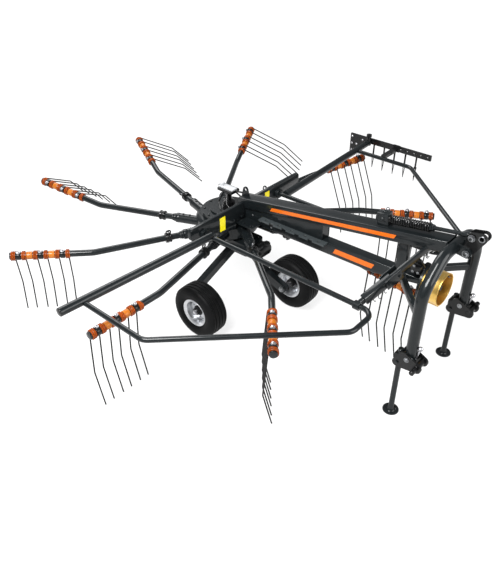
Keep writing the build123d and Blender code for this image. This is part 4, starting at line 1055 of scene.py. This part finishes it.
for inner, outer, radius, edge in ((0.004, 0.003, 0.0236, 0.002), (0, 0.0045, 0.012, 0.001)):
    x, y, z = TUBE_END
    plug.rod(at(x, y + inner, z), at(x, y - outer, z), radius, edge=edge)
plug.piece("tube_plug", "guard_right", black_paint, "black_plastic")

# Wheel links: bright nuts on the shaft ends and on the knee
for sign, x, y in ((1, 0.237, -0.395), (-1, 0.501, -0.011)):
    bolt_heads.bolt(at(x, y, TYRE_RADIUS), (0, sign, 0), 0.017)
    bolt_heads.bolt(at(x - 0.140, y, TYRE_RADIUS + 0.048), (0, sign, 0), 0.011)
bolt_heads.piece("bright_bolts", "frame", bolt_steel, "steel")

# Rounded casting at the front of the chassis block
casting = Shape()
casting.block(placed(0.327, -0.018, 0.440), (0.100, 0.120, 0.076), 0.026)
casting.rod(at(0.330, -0.052, 0.440), at(0.330, -0.052, 0.489), 0.030, sides=28, edge=0.008)
casting.rod(at(0.344, 0.012, 0.440), at(0.344, 0.012, 0.487), 0.026, sides=28, edge=0.008)
for x, y, z in ((0.330, -0.052, 0.489), (0.344, 0.012, 0.487), (0.262, -0.086, 0.483), (0.262, 0.034, 0.483)):
    casting.bolt(at(x, y, z), (0, 0, 1), 0.011)
casting.piece("chassis_casting", "frame", black_paint, "frame_paint")
dark_bolts.piece("painted_bolts", "frame", frame_paint, "frame_paint")

# Rotor hub: bolts on the arm bosses
boss_bolts = Shape()
for _, azimuth, _ in ARMS:
    boss = arm_matrix(azimuth, 0)
    for reach in (0.245, 0.292):
        boss_bolts.bolt(boss @ Vector((reach, 0, -0.032)), (0, 0, 1), 0.008)
boss_bolts.piece("boss_bolts", "rotor", frame_paint, "frame_paint")

# Top link spring: close turns of black wire on its rod
spring_way = Vector((1, 0, UPPER_SLOPE)).normalized()
spring_up = Vector((-UPPER_SLOPE, 0, 1)).normalized()
seat = at(SPRING_REAR, 0, UPPER_TOP + UPPER_SLOPE * (SPRING_REAR - UPPER_TOP_PLACE)) + spring_up * SPRING_RIDE
spring = Shape()
spring_steps = 18
helix = []
for step in range(SPRING_TURNS * spring_steps + 1):
    angle = 2 * pi * step / spring_steps
    along = 0.006 + (SPRING_LENGTH - 0.012) * step / (SPRING_TURNS * spring_steps)
    helix.append(Vector((SPRING_COIL * cos(angle), SPRING_COIL * sin(angle), along)))
spring.pipe(helix, SPRING_WIRE, 8, aim(seat, spring_way, spring_up))
for along in (0, SPRING_LENGTH - SPRING_PLATE):
    start = seat + spring_way * along
    spring.rod(start, start + spring_way * SPRING_PLATE, 0.027, sides=32, edge=0.001)
spring.piece("wound_spring", "frame", black_paint, "spring_black", ["top_spring"])

bracket_axes = Matrix((spring_way, Vector((0, 1, 0)), spring_up)).transposed().to_4x4()
bracket_axes = Matrix.Translation(seat - spring_up * SPRING_RIDE) @ bracket_axes
bracket = Shape()
bracket.block(bracket_axes @ Matrix.Translation((-0.035, 0, 0.039)), (0.070, 0.056, 0.078), 0.005)
foot = [(x, y, 0) for x, y in ((-0.07, -0.028), (0, -0.028), (0, 0.028), (-0.07, 0.028))]
bracket.weld([bracket_axes @ Vector(corner) for corner in foot + foot[:1]])
bracket.dome(bracket_axes @ Vector((-0.035, -0.028, 0.045)), (0, -1, 0), 0.012)
bracket.dome(bracket_axes @ Vector((-0.035, 0, 0.078)), spring_up, 0.012)
bracket.piece("spring_seat_block", "frame", frame_paint, "frame_paint", ["spring_bracket"])
rod_rear = seat - spring_way * 0.084
rod_front = at(ROD_EYE[0], 0, ROD_EYE[1]) - spring_way * 0.013
rod = Shape()
rod.pipe(fine([rod_rear, rod_front], 0.0125), ROD_RADIUS, 20)
thread = [seat + spring_way * (SPRING_LENGTH + along) for along in (0.002, 0.060)]
rod.pipe(fine(thread, 0.0015), 0.0112, 16, ripple=0.03)
for along, length, radius in (
    (-0.084, 0.013, 0.019),
    (SPRING_LENGTH, 0.014, 0.021),
    (SPRING_LENGTH + 0.015, 0.010, 0.019),
):
    rod.rod(seat + spring_way * along, seat + spring_way * (along + length), radius, sides=6, edge=0.0015)
rod.rod(rod_front - spring_way * 0.050, rod_front, 0.0145, sides=20, edge=0.002)
rod.piece("threaded_rod", "frame", frame_paint, "frame_paint", ["spring_rod"])

# Floor, light and camera
AMBIENT_LIGHT = 0.28
FLOOR_SIZE = 30
FLOOR_GLOW = 0.66
FLOOR_FADE_START = 2.6
FLOOR_FADE_END = 6.0
floor_bm = bmesh.new()
bmesh.ops.create_grid(floor_bm, x_segments=1, y_segments=1, size=FLOOR_SIZE)
floor_mesh = bpy.data.meshes.new("floor")
floor_bm.to_mesh(floor_mesh)
floor_bm.free()
floor = bpy.data.objects.new("floor", floor_mesh)
bpy.context.collection.objects.link(floor)
floor_look = Look("pale_floor")
floor_look.set(Base_Color=rgb(0.7, 0.7, 0.7), Roughness=0.9, Specular_IOR_Level=0.0)
rays = floor_look.tree.nodes.new("ShaderNodeLightPath")
glow = floor_look.tree.nodes.new("ShaderNodeEmission")
glow.inputs["Color"].default_value = rgb(1, 1, 1)
glow.inputs["Strength"].default_value = 1.15
seen = Value(floor_look, rays.outputs["Is Camera Ray"]) + Value(floor_look, rays.outputs["Is Glossy Ray"])
seen = seen + Value(floor_look, rays.outputs["Is Transmission Ray"])
blend = floor_look.tree.nodes.new("ShaderNodeMixShader")
reach = floor_look.node("ShaderNodeVectorMath", {"operation": "LENGTH"}, {0: floor_look.place()}, "Value")
far = floor_look.span(reach, FLOOR_FADE_START, FLOOR_FADE_END)
floor_look.feed(blend.inputs[0], seen * (far * (1 - FLOOR_GLOW) + FLOOR_GLOW))
floor_look.tree.links.new(floor_look.shader.outputs[0], blend.inputs[1])
floor_look.tree.links.new(glow.outputs[0], blend.inputs[2])
output = next(n for n in floor_look.tree.nodes if n.type == "OUTPUT_MATERIAL")
floor_look.tree.links.new(blend.outputs[0], output.inputs["Surface"])
floor_mesh.materials.append(floor_look.material)

world = bpy.data.worlds.new("studio")
bpy.context.scene.world = world
world.use_nodes = True
sky = world.node_tree
sky.nodes.clear()
sky_out = sky.nodes.new("ShaderNodeOutputWorld")
ambient = sky.nodes.new("ShaderNodeBackground")
ambient.inputs["Color"].default_value = rgb(0.95, 0.97, 1.0)
ambient.inputs["Strength"].default_value = AMBIENT_LIGHT
backdrop = sky.nodes.new("ShaderNodeBackground")
backdrop.inputs["Color"].default_value = rgb(1, 1, 1)
backdrop.inputs["Strength"].default_value = 1.0
sky_rays = sky.nodes.new("ShaderNodeLightPath")
sky_mix = sky.nodes.new("ShaderNodeMixShader")
sky.links.new(sky_rays.outputs["Is Camera Ray"], sky_mix.inputs[0])
sky.links.new(ambient.outputs[0], sky_mix.inputs[1])
sky.links.new(backdrop.outputs[0], sky_mix.inputs[2])
sky.links.new(sky_mix.outputs[0], sky_out.inputs["Surface"])


def lamp(name, place, target, size, power):
    """Round lamp that shines from a place to a target."""
    light = bpy.data.lights.new(name, "AREA")
    light.shape = "DISK"
    light.size = size
    light.energy = power
    thing = bpy.data.objects.new(name, light)
    thing.matrix_world = aim(place, Vector(place) - Vector(target))
    bpy.context.collection.objects.link(thing)


lamp("key", at(1.0, -3.5, 5.0), at(0.3, 0, 0.5), 3.0, 640)
lamp("fill", at(-3.5, 1.5, 4.5), at(0.2, 0, 0.5), 4.0, 220)
lamp("front", at(4.5, 0.5, 2.5), at(0.6, 0, 0.6), 3.0, 120)

CAMERA_PLACE = (2.616, -2.758, 2.673)
CAMERA_SENSOR = 36
CAMERA_FOCAL = 622.909
PICTURE_HEIGHT = 573
CAMERA_TURN = (41.1, 35.46, -0.16)
yaw, pitch, roll = (radians(angle) for angle in CAMERA_TURN)
right = Vector((cos(yaw), sin(yaw), 0))
back = Vector((sin(yaw) * cos(pitch), -cos(yaw) * cos(pitch), sin(pitch)))
up = back.cross(right)
tilted_right = right * cos(roll) + up * sin(roll)
tilted_up = up * cos(roll) - right * sin(roll)
camera_data = bpy.data.cameras.new("photo_view")
camera_data.sensor_width = CAMERA_SENSOR
camera_data.lens = CAMERA_SENSOR * CAMERA_FOCAL / PICTURE_HEIGHT
camera = bpy.data.objects.new("photo_view", camera_data)
turn = Matrix((tilted_right, tilted_up, back)).transposed().to_4x4()
camera.matrix_world = placed(*CAMERA_PLACE) @ turn
bpy.context.collection.objects.link(camera)
bpy.context.scene.camera = camera
bpy.context.scene.view_settings.view_transform = "Standard"
